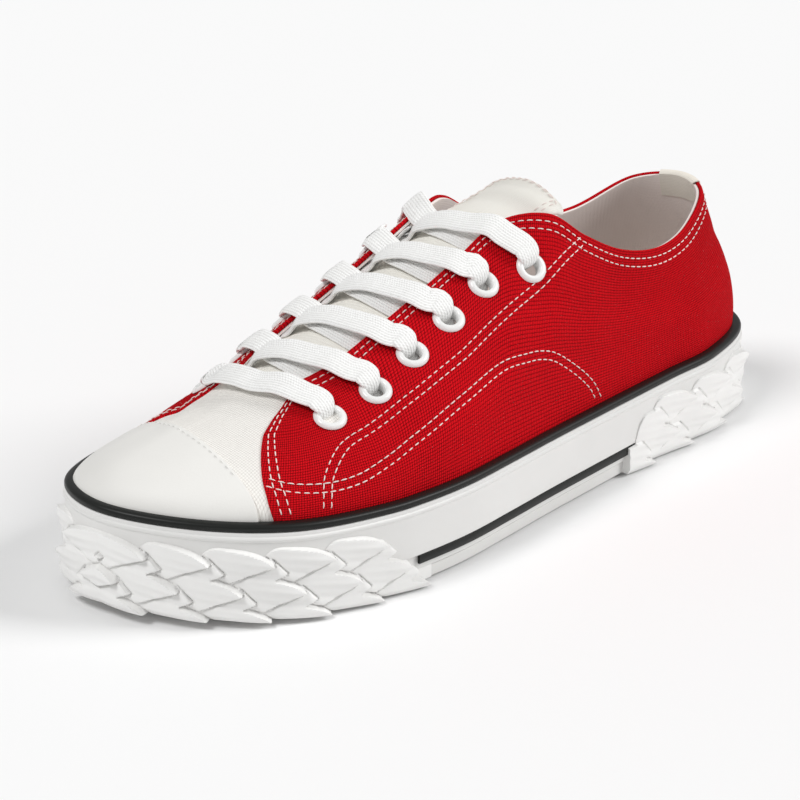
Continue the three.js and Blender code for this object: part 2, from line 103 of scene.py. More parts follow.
# Middle line of the tongue's upper face as x, y, z, and its half width there.
TONGUE_ROWS = np.array([
    (216, -3.5, 49, 19),
    (206, -3.5, 52.8, 22),
    (194, -3.5, 57.6, 24),
    (172, -3.5, 65.8, 24),
    (148, -3, 74.3, 22),
    (126, -2, 82.3, 19.5),
    (114, 1.5, 88.3, 18),
    (107, 6.5, 93.4, 16),
    (103.5, 7.5, 95.6, 15.5),
])
TONGUE_THICKNESS = 2.4
# The face leans to one side, falls away to both edges, and droops at the lateral corner of its top.
TONGUE_ROLL = 0.08
TONGUE_SAG = 0.0145
TONGUE_DROOP = {"height": 4.0, "from": 0.8, "over": 0.2, "power": 1.3}

# ------------------------------------------------------------------ curves


def lerp(a, b, part):
    return a + (b - a) * part


def smooth(part):
    part = np.clip(part, 0, 1)
    return part * part * (3 - 2 * part)


def unit(vectors):
    return vectors / np.maximum(np.linalg.norm(vectors, axis=-1, keepdims=True), 1e-9)


def between(p0, p1, p2, p3, part):
    """Centripetal Catmull-Rom point between p1 and p2."""
    spans = ((p0, p1), (p1, p2), (p2, p3))
    steps = [np.sqrt(np.linalg.norm(b - a, axis=-1, keepdims=True)) for a, b in spans]
    d0, d1, d2 = (np.maximum(step, 1e-4) for step in steps)
    m1 = ((p1 - p0) / d0 - (p2 - p0) / (d0 + d1) + (p2 - p1) / d1) * d1
    m2 = ((p2 - p1) / d1 - (p3 - p1) / (d1 + d2) + (p3 - p2) / d2) * d1
    w = part[..., None]
    w2, w3 = w * w, w * w * w
    return (2 * w3 - 3 * w2 + 1) * p1 + (w3 - 2 * w2 + w) * m1 + (3 * w2 - 2 * w3) * p2 + (w3 - w2) * m2


def closed_curve(rows, place):
    """Closed curve through rows; place counts rows from the first."""
    row = np.floor(place).astype(int)
    picked = [rows[(row + shift) % len(rows)] for shift in (-1, 0, 1, 2)]
    return between(*picked, place - row)


def open_curve(rows, part):
    """Open curve through rows; part runs from 0 at the first row to 1 at the last."""
    longer = np.vstack([2 * rows[0] - rows[1], rows, 2 * rows[-1] - rows[-2]])
    place = np.asarray(part, float) * (len(rows) - 1)
    row = np.clip(np.floor(place).astype(int), 0, len(rows) - 2)
    picked = [longer[row + shift] for shift in (0, 1, 2, 3)]
    return between(*picked, place - row)


def even_parts(rows, count):
    """Parts that place count points evenly along an open curve, and the curve's length."""
    dense = np.linspace(0, 1, 60 * len(rows))
    arc = arc_lengths(open_curve(rows, dense))
    return np.interp(np.linspace(0, arc[-1], count), arc, dense), arc[-1]


def arc_lengths(points):
    """Length along a row of points, from 0 at the first."""
    return np.concatenate([[0], np.cumsum(np.linalg.norm(np.diff(points, axis=0), axis=1))])


def spring_at(spring, x):
    start, run, rise = spring
    return rise * np.clip((x - start) / run, 0, None) ** 2


DENSE_PLACE = np.linspace(0, SECTION_COUNT, 200 * SECTION_COUNT + 1)
DENSE_EDGE = closed_curve(OUTLINE, DENSE_PLACE)
DENSE_ARC = arc_lengths(DENSE_EDGE)
OUTLINE_LENGTH = DENSE_ARC[-1]
# Usual length of the upper's profile from the stripe to the free edge: turns v into mm.
PROFILE_HEIGHT = 55.0
UV_TO_MM = np.array([OUTLINE_LENGTH, PROFILE_HEIGHT])

# ------------------------------------------------------------------ the last's own surface


def place_at(u):
    """Row count of the section table at u, the part of the way round the outline."""
    return np.interp(np.asarray(u, float) % 1, DENSE_ARC / OUTLINE_LENGTH, DENSE_PLACE)


def outline_at(u):
    """Outline points in plan, and the outward directions there."""
    place = place_at(u)
    step = 1e-3
    tangent = closed_curve(OUTLINE, place + step) - closed_curve(OUTLINE, place - step)
    outward = unit(np.stack([-tangent[..., 1], tangent[..., 0]], axis=-1))
    return closed_curve(OUTLINE, place), outward


def outline_point(u, offset, height_at):
    """Points beside the outline, at a height worked out from their x."""
    edge, outward = outline_at(u)
    height = np.broadcast_to(height_at(edge[..., 0]), edge.shape[:-1])
    plan = edge + outward * np.broadcast_to(offset, edge.shape[:-1])[..., None]
    return np.concatenate([plan, height[..., None]], axis=-1)


def u_at_x(x, side):
    """Part of the way round where the outline of one side passes x."""
    toe = np.argmax(DENSE_EDGE[:, 0])
    if side == "lateral":
        place = np.interp(x, DENSE_EDGE[:toe, 0], DENSE_ARC[:toe])
    else:
        place = np.interp(x, DENSE_EDGE[toe:, 0][::-1], DENSE_ARC[toe:][::-1])
    return place / OUTLINE_LENGTH


def blended(name, place):
    """One column of the section table, eased from row to row."""
    row = np.floor(place).astype(int)
    values = COLUMN[name]
    return lerp(values[row % SECTION_COUNT], values[(row + 1) % SECTION_COUNT], smooth(place - row))


def stripe_top(x):
    return PLATFORM_HEIGHT + STRIPE_HEIGHT + spring_at(TOE_SPRING, x)


def cup_floor(x):
    return PLATFORM_HEIGHT - CUP_DEPTH + spring_at(TOE_SPRING, x)


def profile_arms(u):
    """The four control points of the upper's profile curve at each u."""
    place = place_at(u)
    edge, outward = outline_at(u)
    foot = np.concatenate([edge - outward * UPPER_INSET, stripe_top(edge[..., :1])], axis=-1)
    top = closed_curve(TOP_LINE, place)
    inward = unit((top - foot)[..., :2])
    reach = np.linalg.norm(top - foot, axis=-1)
    foot_lean = np.radians(blended("foot_lean", place))[..., None]
    top_lean = np.radians(blended("top_lean", place))[..., None]
    foot_arm = np.concatenate([outward * np.sin(foot_lean), np.cos(foot_lean)], axis=-1)
    top_arm = np.concatenate([inward * np.sin(top_lean), np.cos(top_lean)], axis=-1)
    foot_reach = (reach * blended("foot_full", place))[..., None]
    top_reach = (reach * blended("top_full", place))[..., None]
    return foot, foot + foot_arm * foot_reach, top - top_arm * top_reach, top


def bare_surface(u, v):
    """Upper's outer face: v is 0 at the stripe's top and 1 at the free edge."""
    a, b, c, d = profile_arms(u)
    w = v[..., None]
    return (1 - w) ** 3 * a + 3 * (1 - w) ** 2 * w * b + 3 * (1 - w) * w * w * c + w**3 * d


def surface_normal(u, v):
    step = 1e-3
    around = bare_surface(u + step, v) - bare_surface(u - step, v)
    upwards = bare_surface(u, np.minimum(v + step, 1)) - bare_surface(u, np.maximum(v - step, 0))
    return unit(np.cross(upwards, around))


# Soft troughs (depth > 0) and swells (depth < 0) of the worn canvas: middle, length along and across the
# profile as parts of u and v, turn in degrees and depth in mm.
# Columns: u, v, half_u, half_v, turn, depth.
CREASES = [
    (0.405, 0.62, 0.045, 0.06, 35, 0.8),
    (0.375, 0.30, 0.060, 0.07, 12, 0.7),
    (0.330, 0.52, 0.055, 0.06, -8, 0.6),
    (0.290, 0.26, 0.070, 0.08, 15, -0.8),
    (0.245, 0.60, 0.045, 0.07, -25, 0.8),
    (0.200, 0.30, 0.050, 0.08, 20, 0.7),
    (0.150, 0.62, 0.040, 0.09, -12, 0.6),
    (0.100, 0.35, 0.045, 0.08, 25, -0.6),
    (0.055, 0.66, 0.030, 0.08, 0, 0.6),
    (0.600, 0.60, 0.045, 0.06, -35, 0.8),
    (0.640, 0.30, 0.060, 0.07, -12, 0.7),
    (0.700, 0.50, 0.055, 0.07, 12, 0.8),
    (0.760, 0.58, 0.045, 0.08, 22, 0.8),
    (0.830, 0.40, 0.050, 0.08, -20, 0.7),
    (0.900, 0.60, 0.040, 0.08, 12, 0.6),
    (0.480, 0.78, 0.060, 0.05, 0, 0.6),
    (0.530, 0.60, 0.040, 0.05, 0, -0.3),
]


def crease_depth(u, v):
    depth = np.zeros(np.broadcast(u, v).shape)
    for mid_u, mid_v, half_u, half_v, turn, deep in CREASES:
        along = ((u - mid_u + 0.5) % 1 - 0.5) / half_u
        across = (v - mid_v) / half_v
        cos, sin = math.cos(math.radians(turn)), math.sin(math.radians(turn))
        a, b = along * cos + across * sin, across * cos - along * sin
        depth += deep * np.exp(-(a * a + b * b))
    return depth


# Parts of v over which the creases fade out, above the stripe and below the free edge.
CREASE_FADE_FOOT = 0.12
CREASE_FADE_EDGE = 0.1


def surface(u, v, offset=0.0):
    """Point of the upper moved out by offset, with its creases; below v = 0 it goes straight down."""
    u, v, offset = np.broadcast_arrays(np.asarray(u, float), np.asarray(v, float), np.asarray(offset, float))
    inside = np.clip(v, 0, 1)
    soft = smooth(inside / CREASE_FADE_FOOT) * smooth((1 - inside) / CREASE_FADE_EDGE)
    normal = surface_normal(u, inside)
    point = bare_surface(u, inside) + normal * (offset - soft * crease_depth(u, inside))[..., None]
    tuck = stripe_top(0) - cup_floor(0) - GAP
    below = outline_point(u, offset - UPPER_INSET, stripe_top)
    below[..., 2] += np.minimum(v, 0) * tuck
    return np.where((v < 0)[..., None], below, point)


def v_at_setback(u, setback):
    """v of the place that lies setback mm below the free edge."""
    levels = np.linspace(0, 1, 40)
    arc = arc_lengths(bare_surface(np.full_like(levels, u), levels))
    return float(np.interp(max(arc[-1] - setback, 0), arc, levels))


# Outline x at the two ends of the facings, and how often the search between them halves its span.
FACING_REACH = (115, 262)
HALVINGS = 26


def facing_uv(side, x, setback):
    """(u, v) on one side's facing, at x along the shoe and setback mm from the free edge."""
    low, high = (u_at_x(end, side) for end in FACING_REACH)
    for _ in range(HALVINGS):
        middle = (low + high) / 2
        v = v_at_setback(middle, setback)
        if bare_surface(np.array([middle]), np.array([v]))[0, 0] < x:
            low = middle
        else:
            high = middle
    return middle, v


def facing_place(side, x, setback, lift=0.0):
    """Point and normal at a place on the facing, lifted off the canvas."""
    u, v = facing_uv(side, x, setback)
    normal = surface_normal(np.array([u]), np.array([v]))[0]
    return surface(u, v, lift), normal


def eyelet_x(row):
    return EYELET_FIRST_X - (row - 1) * EYELET_PITCH


def tongue_half(part):
    places = part * (len(TONGUE_ROWS) - 1)
    return np.interp(places, np.arange(len(TONGUE_ROWS)), TONGUE_ROWS[:, 3])


def tongue_point(part, across, lift=0.0):
    """Point on the tongue's upper face: part from 0 at its front to 1 at its top, across from -1 to 1."""
    part, across, lift = np.broadcast_arrays(np.asarray(part, float), np.asarray(across, float),
                                             np.asarray(lift, float))
    aside = across * tongue_half(part)
    point = open_curve(TONGUE_ROWS[:, :3], part)
    point[..., 1] += aside
    near_top = smooth((part - TONGUE_DROOP["from"]) / TONGUE_DROOP["over"])
    droop = TONGUE_DROOP["height"] * near_top * np.clip(across, 0, None) ** TONGUE_DROOP["power"]
    point[..., 2] += TONGUE_ROLL * aside - TONGUE_SAG * aside**2 - droop + lift
    return point


# ------------------------------------------------------------------ meshes


def grid_faces(rows, columns, wrap_rows=False, wrap_columns=False):
    """Quads of a grid and, for each corner, its place in a grid one larger each way it wraps."""
    r, c = np.meshgrid(np.arange(rows if wrap_rows else rows - 1),
                       np.arange(columns if wrap_columns else columns - 1), indexing="ij")
    r, c = r.ravel(), c.ravel()
    corners = [(r, c), (r, c + 1), (r + 1, c + 1), (r + 1, c)]
    faces = np.stack([(a % rows) * columns + b % columns for a, b in corners], axis=1)
    return faces, corners


def quad_volume(points, quads):
    a, b, c, d = (points[quads[:, corner]] for corner in range(4))
    return np.einsum("ij,ij->", a, np.cross(b, c)) + np.einsum("ij,ij->", a, np.cross(c, d))


def add_mesh(name, points, faces, material, corner_uv=None, sharp=35):
    """New object from points in last coordinates and faces. Riding, the material and shading are set here.

    corner_uv holds one cloth coordinate, in mm, for each corner of each face in turn.
    """
    mesh = bpy.data.meshes.new(name)
    mesh.from_pydata(((points - FOOTPRINT_CENTRE) * MM).tolist(), [], faces)
    if corner_uv is not None:
        layer = mesh.uv_layers.new(name="cloth")
        layer.data.foreach_set("uv", corner_uv.reshape(-1).astype(np.float32))
    mesh.shade_smooth()
    mesh.set_sharp_from_angle(angle=math.radians(sharp))
    mesh.materials.append(material)
    piece = bpy.data.objects.new(name, mesh)
    bpy.context.scene.collection.objects.link(piece)
    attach(piece, "root")
    return piece


def loft(name, rings, material, uv=None, looped=False, sharp=35, caps="strips"):
    """Closed piece through rings of points, (ring, point, 3).

    uv is in mm, for each point and one more past the last, where the ring closes. A piece that is not
    looped is capped: with strips, for flat rings whose first half is its front and second half its back,
    or with one plate at each end.
    """
    rings = np.asarray(rings, float)
    count, size = rings.shape[:2]
    quads, corners = grid_faces(count, size, wrap_rows=looped, wrap_columns=True)
    points = rings.reshape(-1, 3)
    corner_uv = None
    if uv is not None:
        corner_uv = np.stack([uv[a % count, b] for a, b in corners], axis=1)
    inward = quad_volume(points, quads) < 0
    last = (count - 1) * size
    plates = []
    if not looped and caps == "strips":
        near = np.arange(size // 2 - 1)
        far = size - 1 - near
        cap = np.stack([near, far, far - 1, near + 1], axis=1)
        quads = np.vstack([quads, cap, last + cap[:, ::-1]])
        if uv is not None:
            first_uv, last_uv = (np.stack([uv[end, i] for i in cap.T], axis=1) for end in (0, -1))
            corner_uv = np.vstack([corner_uv, first_uv, last_uv[:, ::-1]])
    elif not looped:
        plates = [list(range(size))[::-1], list(range(last, last + size))]
    if inward:
        quads = quads[:, ::-1]
        corner_uv = None if corner_uv is None else corner_uv[:, ::-1]
        plates = [plate[::-1] for plate in plates]
    return add_mesh(name, points, quads.tolist() + plates, material, corner_uv, sharp)


def slab(name, front, back, material, uv=None, sharp=35):
    """Closed piece between two grids of points, (row, column, 3)."""
    rings = np.concatenate([front, back[:, ::-1]], axis=1)
    ring_uv = None
    if uv is not None:
        ring_uv = np.concatenate([uv, uv[:, ::-1], uv[:, :1]], axis=1)
    return loft(name, rings, material, ring_uv, sharp=sharp)


# What is left of a sheet's thickness at its very edge.
EDGE_THICKNESS = 0.08


def edge_round(distance, radius):
    """Part of the thickness: least at an edge, rising like a quarter circle to 1 at radius from it."""
    part = np.clip(distance / radius, 0, 1)
    return np.maximum(np.sqrt(1 - (1 - part) ** 2), EDGE_THICKNESS)


def dense_ends(count, tip, tips=5):
    """Steps from 0 to 1 that crowd within tip of both ends."""
    crowd = tip * (1 - np.cos(np.linspace(0, np.pi / 2, tips)))
    middle = np.linspace(tip, 1 - tip, count)[1:-1]
    return np.concatenate([crowd, middle, 1 - crowd[::-1]])


# ------------------------------------------------------------------ materials


# Height of a woven thread where it dives, as a part of its height at the middle of a crossing.
THREAD_LOW = 0.55


class Look:
    """A procedural material round one Principled shader."""

    def __init__(self, name, roughness, **inputs):
        self.material = bpy.data.materials.new(name)
        self.material.use_nodes = True
        self.nodes = self.material.node_tree.nodes
        self.links = self.material.node_tree.links
        self.shader = self.nodes["Principled BSDF"]
        self.shader.inputs["Roughness"].default_value = roughness
        for key, value in inputs.items():
            self.shader.inputs[key.replace("_", " ")].default_value = value

    def plug(self, socket, value):
        if isinstance(value, bpy.types.NodeSocket):
            self.links.new(value, socket)
        else:
            socket.default_value = value

    def math(self, operation, first, second=0.0, third=0.0):
        node = self.nodes.new("ShaderNodeMath")
        node.operation = operation
        for socket, value in zip(node.inputs, (first, second, third)):
            self.plug(socket, value)
        return node.outputs[0]

    def noise(self, scale, detail=3.0, roughness=0.5):
        node = self.nodes.new("ShaderNodeTexNoise")
        node.inputs["Scale"].default_value = scale
        node.inputs["Detail"].default_value = detail
        node.inputs["Roughness"].default_value = roughness
        self.links.new(self.nodes.new("ShaderNodeTexCoord").outputs["Object"], node.inputs["Vector"])
        return node.outputs["Fac"]

    def cloth_place(self):
        """The cloth coordinates along and across the weave, in mm."""
        node = self.nodes.new("ShaderNodeUVMap")
        node.uv_map = "cloth"
        split = self.nodes.new("ShaderNodeSeparateXYZ")
        self.links.new(node.outputs["UV"], split.inputs[0])
        return split.outputs[0], split.outputs[1]

    def paint(self, factor, stops):
        """Colours the surface by factor, through stops of (factor, colour)."""
        node = self.nodes.new("ShaderNodeValToRGB")
        elements = node.color_ramp.elements
        while len(elements) < len(stops):
            elements.new(0.5)
        for element, (position, color) in zip(elements, stops):
            element.position = position
            element.color = (*color, 1)
        self.links.new(factor, node.inputs["Fac"])
        self.links.new(node.outputs["Color"], self.shader.inputs["Base Color"])

    def bump(self, height, distance, strength=1.0, before=None):
        node = self.nodes.new("ShaderNodeBump")
        node.inputs["Strength"].default_value = strength
        node.inputs["Distance"].default_value = distance
        self.links.new(height, node.inputs["Height"])
        if before:
            self.links.new(before, node.inputs["Normal"])
        return node.outputs["Normal"]

    def finish(self, normal):
        self.links.new(normal, self.shader.inputs["Normal"])
        return self.material

    def wave(self, place, turn, start=0.0):
        """Sine of a coordinate in mm times turn, in radians per mm."""
        return self.math("SINE", self.math("MULTIPLY_ADD", place, turn, start))

    def plain_weave(self, pitch, stretch=1.0):
        """Height from 0 to 1 of a plain weave.

        pitch is across the weft in mm, and the warp is finer by stretch. Where warp and weft waves have
        the same sign the warp lies on top. A thread on top is lowest where it dives under the next.
        """
        along, across = self.cloth_place()
        wander = self.math("MULTIPLY", self.noise(260, 2), 0.5)
        warp = self.wave(along, math.pi * stretch / pitch, wander)
        weft = self.wave(across, math.pi / pitch, wander)
        rounds = [self.math("SQRT", self.math("ABSOLUTE", wave)) for wave in (warp, weft)]
        over = self.math("MULTIPLY_ADD", self.math("SIGN", self.math("MULTIPLY", warp, weft)), 0.5, 0.5)
        under = self.math("SUBTRACT", 1.0, over)
        tops = []
        for shown, own, other in ((over, *rounds), (under, *rounds[::-1])):
            arch = self.math("MULTIPLY_ADD", other, 1 - THREAD_LOW, THREAD_LOW)
            tops.append(self.math("MULTIPLY", self.math("MULTIPLY", shown, own), arch))
        return self.math("ADD", *tops)


def canvas_look(name, dark, light, pitch, depth, stretch=1.0, roughness=0.95):
    look = Look(name, roughness, Specular_IOR_Level=0.06)
    weave = look.plain_weave(pitch, stretch)
    slub = look.noise(900, 3, 0.6)
    patches = look.noise(28, 3, 0.5)
    # Darker where the weave is low: painted shade in the dips between threads. The slubs and patches are the
    # cloth's own uneven tone.
    tone = look.math("MULTIPLY_ADD", slub, 0.3, look.math("MULTIPLY", weave, 0.7))
    tone = look.math("MULTIPLY_ADD", patches, 0.25, look.math("SUBTRACT", tone, 0.1))
    look.paint(tone, [(0.2, dark), (0.78, light)])
    return look.finish(look.bump(weave, depth * MM))


def rubber_look(name, shade, light, roughness, specular=0.5, grain=0.03):
    look = Look(name, roughness, Specular_IOR_Level=specular)
    patches = look.noise(22, 4, 0.6)
    look.paint(patches, [(0.25, shade), (0.75, light)])
    fine = look.noise(1500, 2, 0.6)
    soft = look.bump(look.noise(90, 2), 0.12 * MM, 0.5)
    return look.finish(look.bump(fine, grain * MM, 0.6, soft))


def lace_look():
    look = Look("lace cotton", 0.92, Sheen_Weight=0.15, Sheen_Roughness=0.5, Specular_IOR_Level=0.2)
    along, across = look.cloth_place()
    rib = look.math("ABSOLUTE", look.math("SINE", look.math("MULTIPLY", across, math.pi / 0.95)))
    slant = look.math("MULTIPLY_ADD", look.math("ABSOLUTE", across), 0.6, along)
    braid = look.math("ABSOLUTE", look.math("SINE", look.math("MULTIPLY", slant, math.pi / 0.9)))
    height = look.math("ADD", look.math("MULTIPLY", rib, 0.65), look.math("MULTIPLY", braid, 0.35))
    # Darker in the grooves between ribs and braid: painted shade, over noise that is the cord's own uneven
    # tone.
    tone = look.math("MULTIPLY_ADD", height, 0.6, look.math("MULTIPLY", look.noise(700, 2), 0.4))
    look.paint(tone, [(0.1, (0.76, 0.75, 0.73)), (0.7, (0.96, 0.96, 0.95))])
    return look.finish(look.bump(height, 0.22 * MM))


def lining_look():
    look = Look("lining cloth", 0.95, Sheen_Weight=0.1, Specular_IOR_Level=0.2)
    weave = look.plain_weave(0.7)
    # Darker where the weave is low: painted shade in the dips between threads, over noise that is the
    # cloth's own uneven tone.
    tone = look.math("MULTIPLY_ADD", look.noise(40, 3), 0.4, look.math("MULTIPLY", weave, 0.5))
    look.paint(tone, [(0.1, (0.86, 0.75, 0.71)), (0.85, (0.98, 0.90, 0.86))])
    return look.finish(look.bump(weave, 0.1 * MM))


LOOKS = {
    "red canvas": canvas_look("red canvas", (0.09, 0.0008, 0.002), (0.68, 0.0050, 0.0110), 1.04, 0.40,
                              stretch=1.15),
    "vamp canvas": canvas_look("vamp canvas", (0.68, 0.65, 0.61), (0.92, 0.90, 0.86), 0.75, 0.10),
    "tongue canvas": canvas_look("tongue canvas", (0.90, 0.87, 0.80), (0.98, 0.96, 0.90), 0.75, 0.12),
    "heel tape": canvas_look("heel tape", (0.74, 0.69, 0.60), (0.90, 0.85, 0.77), 0.6, 0.05),
    "insole cloth": canvas_look("insole cloth", (0.42, 0.38, 0.35), (0.60, 0.56, 0.52), 0.9, 0.10),
    "lining": lining_look(),
    "toe coat": rubber_look("toe coat", (0.80, 0.79, 0.76), (0.84, 0.83, 0.80), 0.5, 0.35, 0.05),
    "white rubber": rubber_look("white rubber", (0.74, 0.735, 0.72), (0.79, 0.785, 0.77), 0.42),
    "bumper rubber": rubber_look("bumper rubber", (0.84, 0.835, 0.82), (0.90, 0.895, 0.88), 0.38),
    "tread rubber": rubber_look("tread rubber", (0.70, 0.69, 0.67), (0.77, 0.765, 0.75), 0.6),
    "black rubber": rubber_look("black rubber", (0.006, 0.007, 0.006), (0.011, 0.012, 0.011), 0.42, 0.28),
    "enamel": rubber_look("enamel", (0.84, 0.84, 0.83), (0.88, 0.88, 0.87), 0.22, 0.5, 0.0),
    "thread": rubber_look("thread", (0.80, 0.68, 0.64), (0.94, 0.86, 0.82), 0.8, 0.2),
    "lace": lace_look(),
}

# ------------------------------------------------------------------ upper

# Front edge of the lateral quarter: u at each v. The medial one mirrors it, moved a little.
QUARTER_FRONT_V = np.array([0.0, 0.2, 0.36, 0.5, 0.65, 0.77, 0.89, 1.0])
QUARTER_FRONT_U = np.array([0.417, 0.421, 0.425, 0.428, 0.431, 0.426, 0.414, 0.400])
MEDIAL_SHIFT = 0.012


# Cloth sheets of the upper, mm: how far the middle of each lies outside the CAD model's surface, half its
# thickness, and how far in from an edge it has its full thickness.
QUARTER = {"middle": -0.37, "half": 0.62, "edge": 0.7}
VAMP = {"middle": -0.75, "half": 0.36, "edge": 0.5}
CAP = {"middle": 0.22, "half": 0.48, "edge": 0.7}
# Sheets pass a little under the stripe, as parts of v, and their free edges start with some thickness, mm.
SHEET_FOOT = -0.12
CAP_FOOT = -0.08
EDGE_START = 0.02
# What a whole profile counts for in cloth coordinates, mm.
CLOTH_HEIGHT = 58.0


def sheet_faces(u, v, sheet, from_edge):
    """Front and back of a cloth sheet, thin where from_edge is small."""
    half = sheet["half"] * edge_round(from_edge, sheet["edge"])
    return surface(u, v, sheet["middle"] + half), surface(u, v, sheet["middle"] - half)


def from_free_edge(v):
    return (1 - v) * PROFILE_HEIGHT + EDGE_START


def quarter_front_u(v, side):
    u = np.interp(v, QUARTER_FRONT_V, QUARTER_FRONT_U)
    return u if side == "lateral" else 1 - u + MEDIAL_SHIFT


def cloth_uv(u, v):
    """Cloth coordinates of places on the upper's sides, in mm."""
    return np.stack(np.broadcast_arrays(u * OUTLINE_LENGTH, v * CLOTH_HEIGHT), axis=-1)


def spokes(normal, count):
    """Unit vectors from the middle of a circle, square to normal, to count places on it."""
    across = unit(np.cross(normal, [0.0, 0.0, 1.0]))
    over = np.cross(normal, across)
    angle = np.linspace(0, 2 * np.pi, count, endpoint=False)[:, None]
    return np.cos(angle) * across + np.sin(angle) * over


CUTTER_SIDES = 24
CUTTER_HALF_LENGTH = 6


def punch_eyelets(piece):
    """Cuts the twelve eyelet holes through a piece."""
    quads, _ = grid_faces(2, CUTTER_SIDES, wrap_columns=True)
    plates = [range(CUTTER_SIDES)[::-1], range(CUTTER_SIDES, 2 * CUTTER_SIDES)]
    points, faces = [], []
    for side in SIDES:
        for row in range(1, EYELET_ROWS + 1):
            centre, normal = facing_place(side, eyelet_x(row), EYELET_SETBACK[side])
            circle = centre + EYELET_HOLE_RADIUS * spokes(normal, CUTTER_SIDES)
            start = len(points) * CUTTER_SIDES
            points += [circle - CUTTER_HALF_LENGTH * normal, circle + CUTTER_HALF_LENGTH * normal]
            faces += [tuple(start + i for i in face) for face in [*quads, *plates]]
    mesh = bpy.data.meshes.new("eyelet cutters")
    mesh.from_pydata(((np.vstack(points) - FOOTPRINT_CENTRE) * MM).tolist(), [], faces)
    mesh.validate()
    cutter = bpy.data.objects.new("eyelet cutters", mesh)
    bpy.context.scene.collection.objects.link(cutter)
    modifier = piece.modifiers.new("holes", "BOOLEAN")
    modifier.operation = "DIFFERENCE"
    modifier.solver = "EXACT"
    modifier.object = cutter
    bpy.context.view_layer.objects.active = piece
    bpy.ops.object.modifier_apply(modifier=modifier.name)
    bpy.data.objects.remove(cutter)


# The lining's outer face and its rounded rim: offsets from the upper's surface, and the rim's v.
LINING = {"outer": -1.05, "rim": (-1.15, -1.5, -1.9), "rim_v": 0.992, "columns": 360}


def make_lining():
    u = np.arange(LINING["columns"]) / LINING["columns"] + 0.5 / LINING["columns"]
    levels = np.concatenate([[-1, -0.5], np.linspace(0, 1, 36)[:-1]])
    stack = [(v, LINING["outer"]) for v in levels]
    stack += [(LINING["rim_v"], offset) for offset in LINING["rim"]]
    stack += [(v, -CANVAS_WALL) for v in levels[::-1]]
    rings = [surface(u, v, offset) for v, offset in stack]
    closing = np.append(u, u[0] + 1)
    uv = np.array([cloth_uv(closing, v) for v, _ in stack])
    piece = loft("lining", rings, LOOKS["lining"], uv, looped=True)
    punch_eyelets(piece)


# Length round the upper, as a part of the outline's length below it.
QUARTER_GIRTH = 0.85


def make_quarters():
    v = np.concatenate([[SHEET_FOOT], dense_ends(40, 0.03)])
    part = dense_ends(420, 0.006)
    V, Q = np.meshgrid(v, part, indexing="ij")
    lateral = quarter_front_u(V, "lateral")
    medial = quarter_front_u(V, "medial") - 1
    U = lerp(medial, lateral, Q)
    span = (lateral - medial) * OUTLINE_LENGTH * QUARTER_GIRTH
    from_edge = np.minimum(np.minimum(Q, 1 - Q) * span, from_free_edge(V))
    front, back = sheet_faces(U, V, QUARTER, from_edge)
    piece = slab("quarters", front, back, LOOKS["red canvas"], cloth_uv(U, V))
    punch_eyelets(piece)
    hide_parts("upper")


VAMP_ENDS = (0.365, 0.645)


def make_vamp():
    v = np.concatenate([[SHEET_FOOT], dense_ends(40, 0.03)])
    U, V = np.meshgrid(np.linspace(*VAMP_ENDS, 200), v, indexing="xy")
    front, back = sheet_faces(U, V, VAMP, from_free_edge(V))
    slab("vamp", front, back, LOOKS["vamp canvas"], front[..., :2])


# Cream tape folded over the collar: where it is along u, and its two faces from the inside, over the free
# edge, to the outside. Offset is from the upper's surface and lift is straight up, mm.
HEEL_TAPE = (-0.016, 0.028)
TAPE_COLUMNS = ("v", "face_offset", "face_lift", "back_offset", "back_lift")
TAPE_ROWS = np.array([
    (0.85, -2.2, 0, -1.95, 0),
    (0.89, -2.25, 0, -1.95, 0),
    (0.93, -2.3, 0, -1.95, 0),
    (0.97, -2.35, 0, -1.95, 0),
    (1, -2.4, 0.1, -2.0, 0.05),
    (1, -2.1, 0.42, -1.8, 0.15),
    (1, -1.4, 0.62, -1.3, 0.25),
    (1, -0.6, 0.66, -0.6, 0.25),
    (1, 0.1, 0.5, 0, 0.2),
    (1, 0.42, 0.1, 0.15, 0.1),
    (0.985, 0.5, 0, 0.2, 0),
    (0.97, 0.45, 0, 0.2, 0),
])


def make_heel_tape():
    u = np.linspace(*HEEL_TAPE, 40)[:, None]
    tape = dict(zip(TAPE_COLUMNS, TAPE_ROWS.T))

    def sheet(face):
        points = surface(u, tape["v"][None], tape[face + "_offset"][None])
        points[..., 2] += tape[face + "_lift"]
        return points

    front = sheet("face")
    uv = np.stack(np.broadcast_arrays(u * OUTLINE_LENGTH, arc_lengths(front[20])), axis=-1)
    slab("heel_tape", front, sheet("back"), LOOKS["heel tape"], uv)


# The cap's rear edge in plan: x of its middle, its turn across the shoe, its bow, and y of its middle.
CAP_LINE = {"x": 238.0, "turn": 0.20, "bow": 0.0012, "y": -2}
# Ends of the search for it along u, the least v it counts from, and the profile's length there, mm.
CAP_SEARCH = (0.40, 0.62)
CAP_LEAST_V = 0.004
CAP_HEIGHT = 52


def cap_back_v(u):
    """v where the toe cap ends: the surface passes a line that slants across the vamp."""
    levels = np.linspace(0, 1, 160)
    U, V = np.meshgrid(u, levels, indexing="xy")
    points = bare_surface(U, V)
    aside = points[..., 1] - CAP_LINE["y"]
    ahead = points[..., 0] - CAP_LINE["x"] - CAP_LINE["turn"] * aside + CAP_LINE["bow"] * aside**2
    return np.array([np.interp(0, -column, levels) if column[0] > 0 else 0.0 for column in ahead.T])


